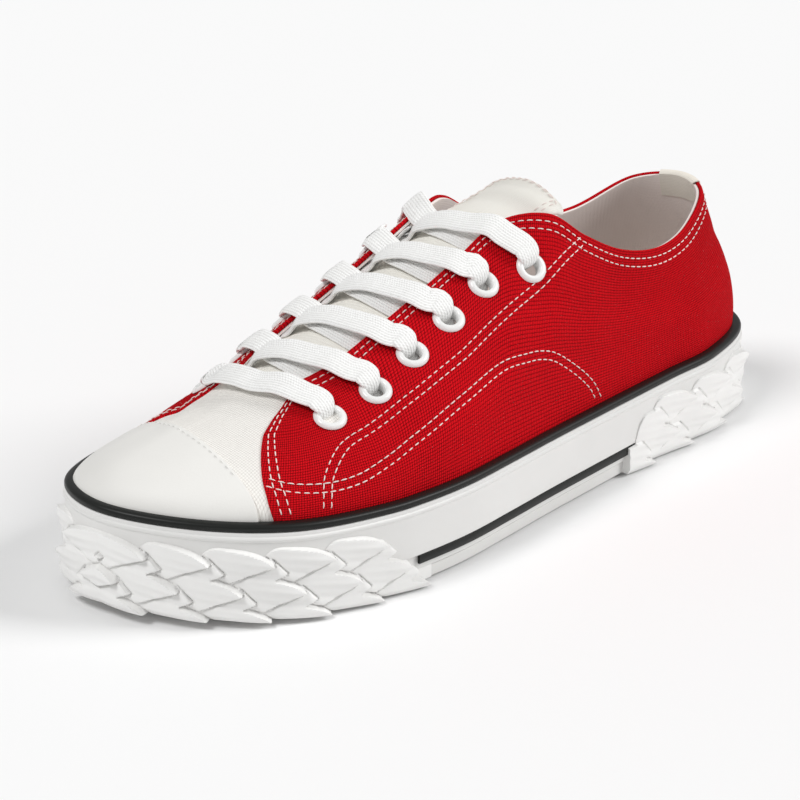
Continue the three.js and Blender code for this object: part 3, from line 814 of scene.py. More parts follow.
def make_toe_cap():
    u = np.linspace(*CAP_SEARCH, 900)
    inside = u[cap_back_v(u) > CAP_LEAST_V]
    u = lerp(inside[0], inside[-1], dense_ends(150, 0.02, 6))
    part = dense_ends(44, 0.03, 6)
    U, P = np.meshgrid(u, part, indexing="xy")
    back_v = cap_back_v(u)[None, :]
    V = lerp(CAP_FOOT, back_v, P)
    rise = (1 - P) * back_v * CAP_HEIGHT
    side = np.minimum(U - u[0], u[-1] - U) * OUTLINE_LENGTH
    front, back = sheet_faces(U, V, CAP, np.minimum(rise, side) + EDGE_START)
    piece = slab("toe_cap_skin", front, back, LOOKS["toe coat"])
    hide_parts("toe_cap")


# ------------------------------------------------------------------ stitches

STITCH = {"length": 2.1, "gap": 0.65, "radius": 0.19, "lift": 0.25}
# Rings of one stitch: part of its length, part of its full radius, and height of its middle, mm.
STITCH_RINGS = np.array([
    (0.0, 0.35, -0.2),
    (0.12, 0.8, 0.02),
    (0.35, 1.0, 0.16),
    (0.65, 1.0, 0.16),
    (0.88, 0.8, 0.02),
    (1.0, 0.35, -0.2),
])
SEAM_SETBACKS = (2.6, 5.2)
SEAM_ASIDES = (-1.3, 1.3)


def stitch_row(path, normals):
    """Rings of little capsules laid end to end along a path, (stitch, ring, side, 3)."""
    arc = arc_lengths(path)
    pitch = STITCH["length"] + STITCH["gap"]
    starts = np.arange(pitch / 2, arc[-1] - STITCH["length"], pitch)

    def at(distance, values):
        return np.stack([np.interp(distance, arc, values[:, axis]) for axis in range(3)], axis=-1)

    steps, girth, height = STITCH_RINGS.T
    distance = starts[:, None] + steps[None, :] * STITCH["length"]
    centre = at(distance, path)
    normal = unit(at(distance, normals))
    tangent = unit(at(distance + 0.2, path) - at(distance - 0.2, path))
    side = unit(np.cross(tangent, normal))
    angle = np.linspace(0, 2 * np.pi, 6, endpoint=False)
    radius = (STITCH["radius"] * girth)[None, :, None, None]
    spoke = np.cos(angle)[:, None] * side[:, :, None] + np.sin(angle)[:, None] * normal[:, :, None]
    return (centre + normal * height[None, :, None])[:, :, None] + radius * spoke


def add_many(name, capsules, look, sharp):
    """One mesh from many closed bars, (bar, ring, side, 3), six sides each."""
    count, rings, sides = capsules.shape[:3]
    quads, _ = grid_faces(rings, sides, wrap_columns=True)
    cap = np.array([[0, 1, 2, 3], [0, 3, 4, 5]])
    last = (rings - 1) * sides + cap[:, ::-1]
    faces = np.vstack([quads, cap, last])
    if quad_volume(capsules[0].reshape(-1, 3), faces) < 0:
        faces = faces[:, ::-1]
    shifts = np.arange(count)[:, None, None] * rings * sides
    every = (faces[None] + shifts).reshape(-1, 4)
    return add_mesh(name, capsules.reshape(-1, 3), every.tolist(), look, sharp=sharp)


def surface_row(u, v, offset=STITCH["lift"], aside=0.0):
    """Stitch row along (u, v) stops on the upper, moved sideways by aside mm."""
    point = surface(u, v, offset)
    normal = surface_normal(np.asarray(u, float), np.clip(v, 0, 1))
    tangent = unit(np.gradient(point, axis=0))
    return stitch_row(point + np.cross(normal, tangent) * aside, normal)


def mirrored_u(u):
    """u on the medial side for u on the lateral one, moved more and more towards the quarter's front."""
    return 1 - u + MEDIAL_SHIFT * smooth(u / 0.4)


def seam(stops, side, aside):
    """Smooth seam through given (u, v) stops of the lateral side, mirrored for the medial one."""
    rows = np.array(stops) * UV_TO_MM
    parts, _ = even_parts(rows, 400)
    u, v = (open_curve(rows, parts) / UV_TO_MM).T
    if side == "lateral":
        return surface_row(u, v, aside=aside)
    return surface_row(mirrored_u(u), v, aside=-aside)


# The seam that rises from the front of the quarter, runs under the eyelets and ends at the collar.
EYESTAY_SEAM = [(0.390, 0.02), (0.387, 0.28), (0.376, 0.44), (0.357, 0.50), (0.322, 0.53), (0.297, 0.54),
                (0.268, 0.58), (0.240, 0.70), (0.217, 0.86), (0.200, 0.985)]
# The seam low on the side that arches down to the stripe at the waist.
WAIST_SEAM = [(0.424, 0.31), (0.407, 0.25), (0.386, 0.21), (0.369, 0.22), (0.353, 0.27), (0.326, 0.32),
              (0.300, 0.35), (0.279, 0.36), (0.257, 0.36), (0.243, 0.36), (0.228, 0.33), (0.210, 0.24),
              (0.197, 0.13), (0.190, 0.02)]


# The front edge slants across u, which lengthens a setback from it; u where it meets the facing.
FRONT_SLANT = 1.12
FACING_FRONT_U = 0.405


def edge_rows(setback):
    """Stitch rows of both sides along the quarter's front edge, facing and collar, setback mm from them."""
    v = np.linspace(0.01, 0.93, 200)
    front = np.stack([quarter_front_u(v, "lateral") - setback / OUTLINE_LENGTH * FRONT_SLANT, v], axis=1)
    front = front[front[:, 1] < v_at_setback(FACING_FRONT_U, setback)]
    along = np.linspace(front[-1, 0], 0, 800)[::4]
    top = np.array([(u, v_at_setback(u, setback)) for u in along[1:]])
    u, v = np.vstack([front, top]).T
    return [surface_row(u, v), surface_row(mirrored_u(u), v)]


CAP_STITCH = {"ends": (0.437, 0.583), "setback": 1.3, "lift": 0.66}


def make_stitches():
    rows = []
    for setback in SEAM_SETBACKS:
        rows += edge_rows(setback)
    for side in SIDES:
        for stops in (EYESTAY_SEAM, WAIST_SEAM):
            rows += [seam(stops, side, aside) for aside in SEAM_ASIDES]
    add_many("quarter_stitches", np.concatenate(rows), LOOKS["thread"], 80)
    u = np.linspace(*CAP_STITCH["ends"], 700)
    v = cap_back_v(u) - CAP_STITCH["setback"] / PROFILE_HEIGHT
    row = surface_row(u, v, CAP_STITCH["lift"])
    add_many("toe_cap_stitches", row, LOOKS["toe coat"], 80)


# ------------------------------------------------------------------ sole


def tread_at(x):
    return spring_at(TREAD_SPRING, x)


def platform_top(x):
    return PLATFORM_HEIGHT + spring_at(TOE_SPRING, x)


def above(base, height):
    """Height function that lies height mm above another one."""
    return lambda x: base(x) + height


def ring_stack(stack, columns=480):
    """Rings round the outline from (offset, height function) pairs."""
    u = (np.arange(columns) + 0.5) / columns
    return np.array([outline_point(u, offset, height) for offset, height in stack])


def make_platform():
    """White wall with a step in at the waist, a rounded bead under the stripe and a cup for the upper."""
    base = OUTSOLE_THICKNESS + GAP
    step = WAIST_STEP_TOP
    inset = -WAIST_STEP_INSET
    cup = GAP - UPPER_INSET
    low = [(inset - 1, base), (inset - 0.15, base), (inset, base + 0.2), (inset, step - 0.1), (-0.35, step),
           (-0.08, step + 0.1), (0, step + 0.4), (0, step + 3)]
    high = [(0, -6), (0, -2.9), (0.25, -2.6), (0.5, -2.2), (0.5, -1.8), (0.25, -1.4), (0, -1.2), (0, -0.25),
            (-0.1, -0.06), (-0.3, 0), (cup, 0)]
    stack = [(offset, above(tread_at, height)) for offset, height in low]
    stack += [(offset, above(platform_top, height)) for offset, height in high]
    stack.append((cup, cup_floor))
    piece = loft("platform", ring_stack(stack), LOOKS["white rubber"])
    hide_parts("midsole")


def make_stripe():
    inner = GAP - UPPER_INSET
    top = STRIPE_HEIGHT
    profile = [(inner, 0.15), (-0.3, 0.15), (-0.05, 0.25), (0.05, 0.5), (0.05, top - 1.1),
               (-0.1, top - 0.65), (-0.45, top - 0.3), (-1, top - 0.1), (-1.8, top), (inner, top)]
    rings = ring_stack([(offset, above(platform_top, height)) for offset, height in profile])
    piece = loft("stripe", rings, LOOKS["black rubber"], looped=True, sharp=50)
    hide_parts("foxing_stripe")


PINSTRIPE = {"start_x": 82, "end_x": 194.5, "bottom": 7.5}


def make_pinstripe(side):
    u = np.linspace(u_at_x(PINSTRIPE["start_x"], side), u_at_x(PINSTRIPE["end_x"], side), 120)
    bottom, top = PINSTRIPE["bottom"], WAIST_STEP_TOP - 0.1
    back = GAP - WAIST_STEP_INSET

    def rail(offset, height):
        return outline_point(u, offset, lambda x: height)

    front = [rail(-0.12, bottom), rail(0.02, bottom + 0.15), rail(0.05, (bottom + top) / 2),
             rail(0.02, top - 0.15), rail(-0.12, top)]
    rear = [rail(back, height) for height in np.linspace(bottom, top, 5)]
    piece = slab(f"pinstripe_{side}_inlay", np.array(front), np.array(rear), LOOKS["black rubber"],
                 sharp=50)
    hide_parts(f"pinstripe_{side}")


# Rubber scales: pitch is from tip to tip along a row, and each row names the height of its tips above the
# foot of the bumper and where they are: millimetres rearward of the toe's middle, or forward of the heel's.
SCALE_FOOT = 1.0
SCALE_TOP = 22.3
SCALE_LAYOUT = {
    "toe": {"pitch": 17.9, "rows": ((17.1, 15.2), (8.2, 24.1), (-0.6, 15.1)),
            "last": ((17.1, 86.8), (8.2, 95.7), (-0.6, 104.6))},
    "heel": {"pitch": 22.0, "rows": ((16.3, 70.2), (7.4, 79.8), (-1.4, 89.4))},
}
SCALE_LENGTH = {"toe": 1.18, "heel": 1.02}
# A scale is SCALE_THIN high at its root and SCALE_PROUD more at its tip, with a groove beside it. Away from
# the scales the bumper lies hidden inside the wall, at WALL_COVER.
SCALE_PROUD = 3.1
SCALE_THIN = 0.25
SCALE_GROOVE = {"depth": 0.9, "width": 0.55}
WALL_COVER = -1.6
# How far behind its tip a scale goes on, and the part of its length where a round back starts.
SCALE_REACH = 26.0
ROUND_BACK = 0.72
# Edges of a scale: its lower one falls from the tip, its upper one bulges up from it, and a second tip
# stands behind and above the first.
LOWER_EDGE = {"slope": 0.46, "depth": 5.6}
UPPER_EDGE = {"height": 5.2, "run": 5.5, "soft": 0.8}
SECOND_TIP = {"back": 5.1, "up": 5.9, "slope": 0.47, "run": 3.6, "soft": 0.6, "top": 10.4}
# Ridges along a scale: how much lower its height is below and above the ridge, and the second ridge.
RIDGE = {"turn": 0.2, "below": 0.5, "below_width": 4.5, "above": 0.4, "above_width": 4.0}
SECOND_RIDGE = {"up": 5.4, "turn": 0.12, "half": 1.3, "height": 0.25}
FLUTES = {"height": 0.05, "turn": 0.1, "per_mm": 2.3}
# Thin plate under the scales: all along the middle of a bumper, and low down on the heel's.
PLATE = {"proud": 0.15, "middle_top": 17.0, "middle_half": 55.0, "low_top": 7.0}
# The relief is drawn in over this height above the bumper's foot.
FOOT_ROUND = {"depth": 0.9, "height": 1.6}
BUMPER_END_X = {"toe": 188, "heel": 88}


def soft_step(distance, width=0.3):
    return smooth(distance / width + 0.5)


def scale_cover(back, aside, length, is_top, is_end, wider=0.0):
    """1 inside the outline of one scale, 0 outside. back runs from its tip along it, aside is up from it.

    Below the top row a scale has a second, smaller tip and reaches up under the row above. Only the last
    scale of a row is round at its back; the others go on under the next one.
    """
    behind = np.clip(back, 0, None)
    past_round = np.clip(back / length - ROUND_BACK, 0, None) / (1 - ROUND_BACK)
    root = np.sqrt(np.clip(1 - past_round**2, 0, 1))
    body = root if is_top or is_end else soft_step(SCALE_REACH - back)
    fall = np.minimum(LOWER_EDGE["slope"] * behind, LOWER_EDGE["depth"]) * root + wider
    rise = UPPER_EDGE["height"] * (1 - np.exp(-behind / UPPER_EDGE["run"])) * body + wider
    cover = soft_step(back + wider) * soft_step(rise - aside, UPPER_EDGE["soft"]) * soft_step(aside + fall)
    if is_end:
        cover = cover * soft_step(length - back)
    if is_top:
        return cover
    tip = SECOND_TIP
    tooth = back - tip["back"]
    shoulder = np.where(tooth < tip["run"], tip["up"] - tip["slope"] * tooth, 0.0) - wider
    second = soft_step(tooth + wider) * soft_step(tip["up"] + tooth + wider - aside, tip["soft"])
    second = second * soft_step(aside - shoulder)
    return np.maximum(cover, second * soft_step(tip["top"] * body - aside, UPPER_EDGE["soft"]))


def scale_height(back, aside, length):
    """Height, as a part of SCALE_PROUD, of one scale: it rises to its tip and is ridged along its middle."""
    slope = np.clip(1 - back / length, 0, 1)
    from_ridge = aside - RIDGE["turn"] * back
    lower = np.clip(-(from_ridge + 0.2) / RIDGE["below_width"], 0, 1)
    upper = np.clip((from_ridge - 0.9) / RIDGE["above_width"], 0, 1)
    from_second = aside - SECOND_RIDGE["up"] - SECOND_RIDGE["turn"] * back
    second = np.exp(-((from_second / SECOND_RIDGE["half"]) ** 2)) * smooth((back - 5) / 3)
    flutes = np.cos((aside - FLUTES["turn"] * back) * FLUTES["per_mm"])
    flutes = FLUTES["height"] * flutes * smooth(back / 4)
    drop = RIDGE["below"] * lower**1.3
    return slope * (1 - drop - RIDGE["above"] * upper + SECOND_RIDGE["height"] * second + flutes)


def scale_relief(which, along, up):
    """How far scales stand out of the wall; along runs the way the tips point. Each lies over the next."""
    layout = SCALE_LAYOUT[which]
    pitch = layout["pitch"]
    length = SCALE_LENGTH[which] * pitch
    tips = []
    for row, (tip_up, tip_along) in enumerate(layout["rows"]):
        if which == "toe":
            places = np.arange(layout["last"][row][1], -2.2 * pitch, -pitch)
        else:
            places = np.arange(-tip_along, 1.2 * pitch, pitch)
        for place in places:
            is_end = which == "heel" and place == places[0]
            tips.append((place, tip_up, row == 0, is_end))
    relief = np.full(np.broadcast(along, up).shape, WALL_COVER)
    for tip, tip_up, is_top, is_end in sorted(tips, reverse=True):
        back, aside = tip - along, up - tip_up
        cover = scale_cover(back, aside, length, is_top, is_end)
        beside = scale_cover(back, aside, length, is_top, is_end, SCALE_GROOVE["width"]) * (1 - cover)
        relief = relief - SCALE_GROOVE["depth"] * beside
        relief = lerp(relief, SCALE_THIN + SCALE_PROUD * scale_height(back, aside, length), cover)
    return np.maximum(relief, WALL_COVER)


def make_bumper(which, columns):
    """Bumper round the toe or the heel; the tips of its scales point rearward."""
    lateral, medial = (u_at_x(BUMPER_END_X[which], side) for side in SIDES)
    start, end = (lateral, medial) if which == "toe" else (medial - 1, lateral)
    u = np.linspace(start, end, columns)
    edge, _ = outline_at(u)
    arc = arc_lengths(edge)
    along = np.abs(arc - arc[-1] / 2)
    if which == "heel":
        along = -along
    up = np.concatenate([[-0.6, 0.0], np.linspace(0.12, SCALE_TOP, 64), [SCALE_TOP + 0.2]])
    relief = scale_relief(which, along[:, None], up[None, :])
    near_middle = soft_step(PLATE["middle_half"] - np.abs(along[:, None]))
    plate = soft_step(PLATE["middle_top"] - up[None]) * near_middle
    if which == "heel":
        plate = np.maximum(plate, soft_step(PLATE["low_top"] - up[None]))
    relief = np.maximum(relief, lerp(WALL_COVER, PLATE["proud"], plate))
    relief -= FOOT_ROUND["depth"] * smooth(1 - up / FOOT_ROUND["height"]) * (relief > 0)
    relief = np.where(up[None, :] < 0, WALL_COVER, relief)
    relief[:, -1] = WALL_COVER
    x = edge[:, 0][:, None]
    height = SCALE_FOOT + np.maximum(up, 0)[None, :] + tread_at(x)
    # The rows fan out a little where the platform's top springs up more than the tread.
    height = height + (spring_at(TOE_SPRING, x) - tread_at(x)) * 0.25 * (up[None, :] / SCALE_TOP)
    rings = []
    back = np.full((columns, 2), WALL_COVER - 0.3)
    for levels, offsets in ((height, relief), (height[:, [-1, 0]], back)):
        wall = outline_point(np.broadcast_to(u[:, None], offsets.shape), offsets, lambda _: 0.0)
        wall[..., 2] = levels
        rings.append(wall)
    piece = loft(f"{which}_scales", np.concatenate(rings, axis=1), LOOKS["bumper rubber"],
                 sharp=32, caps="plates")
    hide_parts(f"{which}_bumper")


# Zigzag bars across the tread, none of them at the arch: x of the first and past the last, mm.
TREAD_BAR = {"start": 8.0, "end": 264.0, "pitch": 6.4, "width": 3.0, "inset": 6.0, "wave": 3.2, "waves": 7}
TREAD_ARCH = (90.0, 124.0)
QUARTER_TURN = 1.5708


def make_outsole():
    top = OUTSOLE_THICKNESS
    profile = [(-2.8, 0.9), (-2.1, 1.0), (-1.8, 1.4), (-1.8, top - 0.3), (-2.1, top), (-3, top)]
    rings = ring_stack([(offset, above(tread_at, height)) for offset, height in profile], 360)
    piece = loft("tread_plate", rings, LOOKS["tread rubber"], caps="plates")
    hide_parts("outsole")
    bars = []
    edge_x, edge_y = DENSE_EDGE.T
    half = TREAD_BAR["width"] / 2
    ring = [(-half, 1.1), (half, 1.1), (half, 0.25), (half - 0.25, 0.0), (0.25 - half, 0.0), (-half, 0.25)]
    across, level = np.array(ring).T
    for x in np.arange(TREAD_BAR["start"], TREAD_BAR["end"], TREAD_BAR["pitch"]):
        if TREAD_ARCH[0] < x < TREAD_ARCH[1]:
            continue
        inside = np.abs(edge_x - x) < 1.2
        low_y, high_y = edge_y[inside].min(), edge_y[inside].max()
        y = np.linspace(low_y, high_y, 57) * (1 - TREAD_BAR["inset"] / (high_y - low_y) * 2)
        triangle = np.arcsin(np.sin(y * math.pi * TREAD_BAR["waves"] / 100))
        zigzag = TREAD_BAR["wave"] * triangle / QUARTER_TURN
        bar_x = x + zigzag[:, None] + across[None]
        bar_z = level[None] + tread_at(bar_x)
        bars.append(np.stack(np.broadcast_arrays(bar_x, y[:, None], bar_z), axis=-1))
    add_many("tread_bars", np.array(bars), LOOKS["tread rubber"], 40)


# ------------------------------------------------------------------ tongue and insole


# The tongue narrows over the last part of its length and is rippled along it; sizes in mm for its cloth
# coordinates and edges, and its two stitch rows' distances from the edge.
TONGUE_TOP = {"from": 0.96, "over": 0.04, "narrower": 0.13}
RIPPLE = {"height": 0.35, "turn": 46, "slant": 0.6, "from": 0.12, "to": 0.9, "fade": 0.1}
TONGUE_CLOTH = (130, 26)
TONGUE_RIM = {"length": 140, "half_width": 20, "radius": 1.6}
TONGUE_SEAMS = (3.2, 5.4)


def tongue_normals(part, across):
    """Upward normals of the tongue's upper face, from points a little either side."""
    ahead = tongue_point(np.minimum(part + 0.01, 1), across)
    behind = tongue_point(part - 0.01, across)
    right = tongue_point(part, across + 0.02)
    left = tongue_point(part, across - 0.02)
    normal = unit(np.cross(right - left, ahead - behind))
    return normal * np.sign(normal[:, 2:])


def make_tongue():
    part = dense_ends(110, 0.02)
    across = dense_ends(60, 0.02)
    P, A = np.meshgrid(part, across, indexing="ij")
    A = A * 2 - 1
    near_top = np.clip((P - TONGUE_TOP["from"]) / TONGUE_TOP["over"], 0, 1)
    middle = tongue_point(P, A * (1 - TONGUE_TOP["narrower"] * near_top**3))
    ripple = RIPPLE["height"] * np.sin(P * RIPPLE["turn"] + RIPPLE["slant"] * A)
    for inside in (P - RIPPLE["from"], RIPPLE["to"] - P):
        ripple = ripple * smooth(inside / RIPPLE["fade"])
    rim = np.minimum(np.minimum(P, 1 - P) * TONGUE_RIM["length"], (1 - np.abs(A)) * TONGUE_RIM["half_width"])
    half = TONGUE_THICKNESS / 2 * edge_round(rim + EDGE_START, TONGUE_RIM["radius"])
    front, back = middle.copy(), middle.copy()
    front[..., 2] += half - TONGUE_THICKNESS / 2 + ripple
    back[..., 2] += -half - TONGUE_THICKNESS / 2 + ripple
    uv = np.stack([P, A], axis=-1) * TONGUE_CLOTH
    piece = slab("tongue_cloth", front, back, LOOKS["tongue canvas"], uv)
    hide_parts("tongue")
    rows = []
    for inset in TONGUE_SEAMS:
        side = 1 - inset / 24
        stops = [(0.55, -side), (0.8, -side), (0.93, -side * 0.99), (1 - inset / 150, -side * 0.72),
                 (1 - inset / 135, 0), (1 - inset / 150, side * 0.72), (0.93, side * 0.99), (0.8, side),
                 (0.55, side)]
        part, across = open_curve(np.array(stops), np.linspace(0, 1, 300)).T
        rows.append(stitch_row(tongue_point(part, across, 0.1), tongue_normals(part, across)))
    add_many("tongue_stitches", np.concatenate(rows), LOOKS["thread"], 80)


def make_insole():
    edge = -(UPPER_INSET + CANVAS_WALL + GAP)
    top = INSOLE_THICKNESS + GAP
    profile = [(edge - 0.5, GAP), (edge, GAP + 0.5), (edge, top - 0.6), (edge - 0.2, top - 0.15),
               (edge - 0.7, top), (edge - 4, top), (edge - 12, top)]
    rings = ring_stack([(offset, above(cup_floor, height)) for offset, height in profile], 360)
    uv = np.concatenate([rings, rings[:, :1]], axis=1)[..., :2]
    piece = loft("insole_cloth", rings, LOOKS["insole cloth"], uv)
    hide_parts("insole")


# ------------------------------------------------------------------ eyelets and lace


# Radius and height above the canvas of an eyelet's section, from its tube over its rim and back.
EYELET_PROFILE = ((2.8, -2.6), (2.8, 0.4), (2.9, 0.8), (3.2, 1.12), (3.7, 1.22), (4.2, 1.08), (4.6, 0.8),
                  (4.9, 0.4), (4.98, 0.05), (4.8, -0.1), (3.15, -0.1), (3.15, -2.6))
EYELET_LIFT = 0.25


def make_eyelet(side, row):
    centre, normal = facing_place(side, eyelet_x(row), EYELET_SETBACK[side], EYELET_LIFT)
    circle = spokes(normal, 48)
    rings = [centre + radius * circle + height * normal for radius, height in EYELET_PROFILE]
    piece = loft(f"eyelet_ring_{side}_{row}", rings, LOOKS["enamel"], looped=True, sharp=50)
    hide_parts(f"eyelet_{side}_{row}")


LACE_WIDTH = 8.8
LACE_THICKNESS = 1.6


def tongue_part_at(x):
    parts = np.linspace(0, 1, 400)
    xs = open_curve(TONGUE_ROWS[:, :3], parts)[:, 0]
    return float(np.interp(-x, -xs, parts))


def throat_stop(x, y, lift, thickness=LACE_THICKNESS):
    """Stop of a band over the tongue: point, normal, width and thickness."""
    part = tongue_part_at(x)
    middle = open_curve(TONGUE_ROWS[:, :3], np.array(part))
    across = (y - middle[1]) / tongue_half(part)
    slope = open_curve(TONGUE_ROWS[:, :3], np.array(part + 0.01)) - middle
    normal = unit(np.array([slope[2], 0, -slope[0]]))
    return tongue_point(part, across) + normal * lift, normal, LACE_WIDTH, thickness


def facing_stop(side, x, setback, lift, thickness=LACE_THICKNESS):
    """Stop of a band over or under a facing."""
    point, normal = facing_place(side, x, setback, lift)
    return point, normal, LACE_WIDTH, thickness


# The way of a band into an eyelet, mm: before is short of the eyelet's middle and height above the canvas.
# The band's face leans from the canvas's normal (upright) to its way forward. Width is a part of its own.
# Columns: before, height, upright, forward, width, thickness.
DIVE_ROWS = (
    (6.2, 2.3, 1, 0, 1, 1.6),
    (3.9, 2.35, 1, 0.15, 0.93, 1.6),
    (2.4, 1.8, 1, 0.7, 0.76, 1.6),
    (1.6, 0.5, 0.3, 1, 0.58, 1.7),
    (1.3, -1.4, 0, 1, 0.5, 1.6),
    (1.3, -3.6, 0, 1, 0.5, 1.6),
)


def dive(side, row):
    """Stops that take a lace from the canvas over the eyelet's rim and down its hole."""
    x, setback = eyelet_x(row), EYELET_SETBACK[side]
    centre, normal = facing_place(side, x, setback)
    nearer, _ = facing_place(side, x, setback - 3)
    away = unit(centre - nearer)
    stops = []
    for before, height, upright, forward, width, thickness in DIVE_ROWS:
        face = unit(normal * upright + away * forward)
        stops.append((centre - away * before + normal * height, face, LACE_WIDTH * width, thickness))
    return stops


RIBBON_STEPS_PER_MM = 1.6
RIBBON_SIDES = 24


def ribbon(stops):
    """Rings of a flat band through stops of (point, normal, width, thickness), and its cloth coordinates."""
    points = np.array([stop[0] for stop in stops])
    normals = np.array([stop[1] for stop in stops])
    sizes = np.array([stop[2:] for stop in stops], float)
    _, length = even_parts(points, 2)
    count = int(length * RIBBON_STEPS_PER_MM)
    parts, _ = even_parts(points, count)
    path = open_curve(points, parts)
    places = parts * (len(stops) - 1)
    rows = np.arange(len(stops))
    normal = unit(np.stack([np.interp(places, rows, normals[:, axis]) for axis in range(3)], axis=1))
    width = np.interp(places, rows, sizes[:, 0])[:, None, None]
    thickness = np.interp(places, rows, sizes[:, 1])[:, None, None]
    tangent = unit(np.gradient(path, axis=0))
    side = unit(np.cross(tangent, normal))
    up = np.cross(side, tangent)
    angle = np.linspace(0, 2 * np.pi, RIBBON_SIDES, endpoint=False) + np.pi / RIBBON_SIDES
    across = np.sign(np.cos(angle)) * np.abs(np.cos(angle)) ** 0.55
    over = np.sign(np.sin(angle)) * np.abs(np.sin(angle)) ** 0.8
    rings = (path[:, None] + side[:, None] * across[None, :, None] * width / 2
             + up[:, None] * over[None, :, None] * thickness / 2)
    travelled = np.linspace(0, length, count)
    uv = np.stack(np.broadcast_arrays(travelled[:, None], across[None, :] * width[:, :, 0] / 2), axis=-1)
    return rings, np.concatenate([uv, uv[:, :1]], axis=1)


def first_bar_stops():
    x = eyelet_x(1)
    medial = dive("medial", 1)[::-1]
    return medial + [
        facing_stop("medial", x + 1.6, 7.0, 2.2),
        facing_stop("medial", x + 2.4, 2.6, 2.9),
        throat_stop(x + 3.2, -6.0, 5.3),
        throat_stop(x + 3.2, -0.5, 5.0),
        facing_stop("lateral", x + 2.4, 2.0, 2.6),
        facing_stop("lateral", x + 1.2, 8.0, 2.4),
    ] + dive("lateral", 1)


def crossing_stops(row, goal):
    """From the last row's eyelet under one facing, over the throat and the other facing, into its eyelet."""
    start = "medial" if goal == "lateral" else "lateral"
    x = eyelet_x(row)
    under, normal = facing_place(start, eyelet_x(row - 1), EYELET_SETBACK[start], -3.6)
    if goal == "lateral":
        across = [
            facing_stop(start, x + 8.2, 4.5, -3.1, thickness=1.0),
            throat_stop(x + 7.4, -17.6, 1.1, thickness=1.2),
            throat_stop(x + 6.6, -14.0, 3.7),
            throat_stop(x + 5.8, -9.0, 4.1),
            throat_stop(x + 4.9, -3.0, 4.2),
            throat_stop(x + 4.2, 4.0, 4.5),
            facing_stop(goal, x + 3.2, 1.5, 2.5),
            facing_stop(goal, x + 1.8, 7.0, 2.4),
        ]
    else:
        point, upright, width, thickness = throat_stop(x + 3.4, -14.0, 4.6)
        _, tilted = facing_place(goal, x + 2.4, 0.3)
        across = [
            facing_stop(start, x + 6.4, 4.5, -3.1, thickness=1.0),
            throat_stop(x + 6.6, 9.0, 0.8, thickness=1.2),
            throat_stop(x + 6.4, -1.5, 1.2),
            throat_stop(x + 4.8, -9.5, 2.0),
            (point, unit(upright + 0.35 * tilted), width, thickness),
            facing_stop(goal, x + 2.6, 0.6, 2.9),
            facing_stop(goal, x + 1.8, 4.0, 2.4),
        ]
    return [(under, normal, 4.5, 1.4)] + across + dive(goal, row)


def make_laces():
    bands = [("lace_1", "lace_bar", first_bar_stops())]
    for row in range(2, EYELET_ROWS + 1):
        for goal in SIDES[::-1]:
            bands.append((f"lace_{row}", f"lace_{row}_to_{goal}", crossing_stops(row, goal)))
    for node, name, stops in bands:
        rings, uv = ribbon(stops)
        piece = loft(name, rings, LOOKS["lace"], uv, sharp=60)
        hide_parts(node)


# ------------------------------------------------------------------ stage


FLOOR_HALF_WIDTH = 4.0
FLOOR_GREY = 0.9
WORLD_STRENGTH = 0.37
SUN_COLUMNS = ("name", "azimuth", "elevation", "spread", "strength")
SUNS = (("key", 82, 54, 20, 0.46), ("side", 226, 36, 26, 0.54))


def make_stage():
    floor = bpy.data.meshes.new("floor")
    signs = ((-1, -1), (1, -1), (1, 1), (-1, 1))
    corners = [(x * FLOOR_HALF_WIDTH, y * FLOOR_HALF_WIDTH, 0) for x, y in signs]
    floor.from_pydata(corners, [], [(0, 1, 2, 3)])
    piece = bpy.data.objects.new("floor", floor)
    bpy.context.scene.collection.objects.link(piece)
    look = Look("floor", 0.9, Specular_IOR_Level=0.0)
    look.shader.inputs["Base Color"].default_value = (FLOOR_GREY, FLOOR_GREY, FLOOR_GREY, 1)
    floor.materials.append(look.material)


def add_sun(name, azimuth, elevation, spread, strength):
    a, e = math.radians(azimuth), math.radians(elevation)
    back = np.array([math.sin(a) * math.cos(e), -math.cos(a) * math.cos(e), math.sin(e)])
    lamp = bpy.data.lights.new(name, "SUN")
    lamp.angle = math.radians(spread)
    lamp.energy = strength * math.pi
    lamp_object = bpy.data.objects.new(name, lamp)
    bpy.context.scene.collection.objects.link(lamp_object)
    lamp_object.matrix_world = look_matrix(back * 2, back, 0)


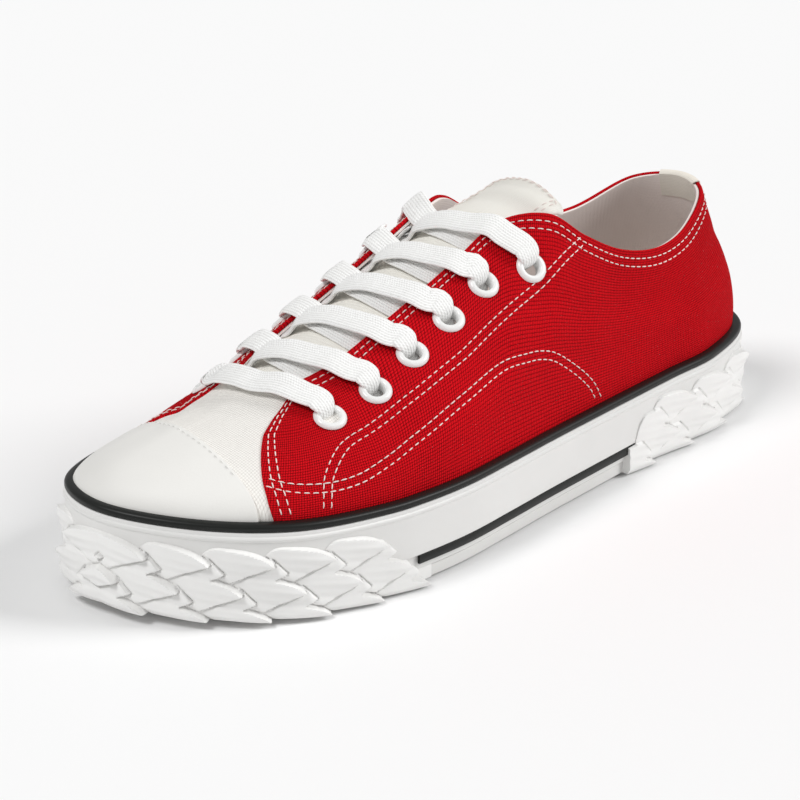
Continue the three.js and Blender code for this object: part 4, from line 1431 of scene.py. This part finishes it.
def look_matrix(place, back, roll):
    """World matrix of a camera or lamp that looks against back, rolled clockwise by roll degrees."""
    right = unit(np.cross([0, 0, 1.0], back))
    up = np.cross(back, right)
    turn = math.radians(roll)
    right, up = right * math.cos(turn) + up * math.sin(turn), up * math.cos(turn) - right * math.sin(turn)
    matrix = Matrix.Identity(4)
    for column, axis in enumerate((right, up, back, place)):
        for row in range(3):
            matrix[row][column] = axis[row]
    return matrix


# The camera stands CAMERA_DISTANCE from CAMERA_TARGET, turned from +y towards +x, and looks at CAMERA_AIM.
CAMERA_TURN = 44.98
CAMERA_ELEVATION = 20.56
CAMERA_ROLL = 0.57
CAMERA_DISTANCE = 900.0
CAMERA_TARGET = np.array([185.8, 5.2, 61.6])
CAMERA_AIM = np.array([176.1, 23.0, 46.4])
CAMERA_LENS = 137.0


def make_camera():
    turn, rise = math.radians(CAMERA_TURN), math.radians(CAMERA_ELEVATION)
    back = np.array([math.sin(turn) * math.cos(rise), math.cos(turn) * math.cos(rise), math.sin(rise)])
    stand = CAMERA_TARGET + back * CAMERA_DISTANCE
    place = (stand - FOOTPRINT_CENTRE) * MM
    data = bpy.data.cameras.new("camera")
    data.lens = CAMERA_LENS
    data.sensor_width = 36
    data.clip_end = 20
    camera = bpy.data.objects.new("camera", data)
    bpy.context.scene.collection.objects.link(camera)
    camera.matrix_world = look_matrix(place, unit(stand - CAMERA_AIM), CAMERA_ROLL)
    bpy.context.scene.camera = camera


def make_lights():
    world = bpy.data.worlds.new("studio")
    bpy.context.scene.world = world
    world.use_nodes = True
    background = world.node_tree.nodes["Background"]
    background.inputs["Color"].default_value = (1, 1, 1, 1)
    background.inputs["Strength"].default_value = WORLD_STRENGTH
    for sun in SUNS:
        add_sun(**dict(zip(SUN_COLUMNS, sun)))
    bpy.context.scene.view_settings.view_transform = "Standard"


make_camera()
make_lights()
make_stage()
make_lining()
make_quarters()
make_vamp()
make_toe_cap()
make_heel_tape()
make_stitches()
make_platform()
make_stripe()
for shoe_side in SIDES:
    make_pinstripe(shoe_side)
make_bumper("toe", 640)
make_bumper("heel", 620)
make_outsole()
make_tongue()
make_insole()
for shoe_side in SIDES:
    for eyelet_row in range(1, EYELET_ROWS + 1):
        make_eyelet(shoe_side, eyelet_row)
make_laces()
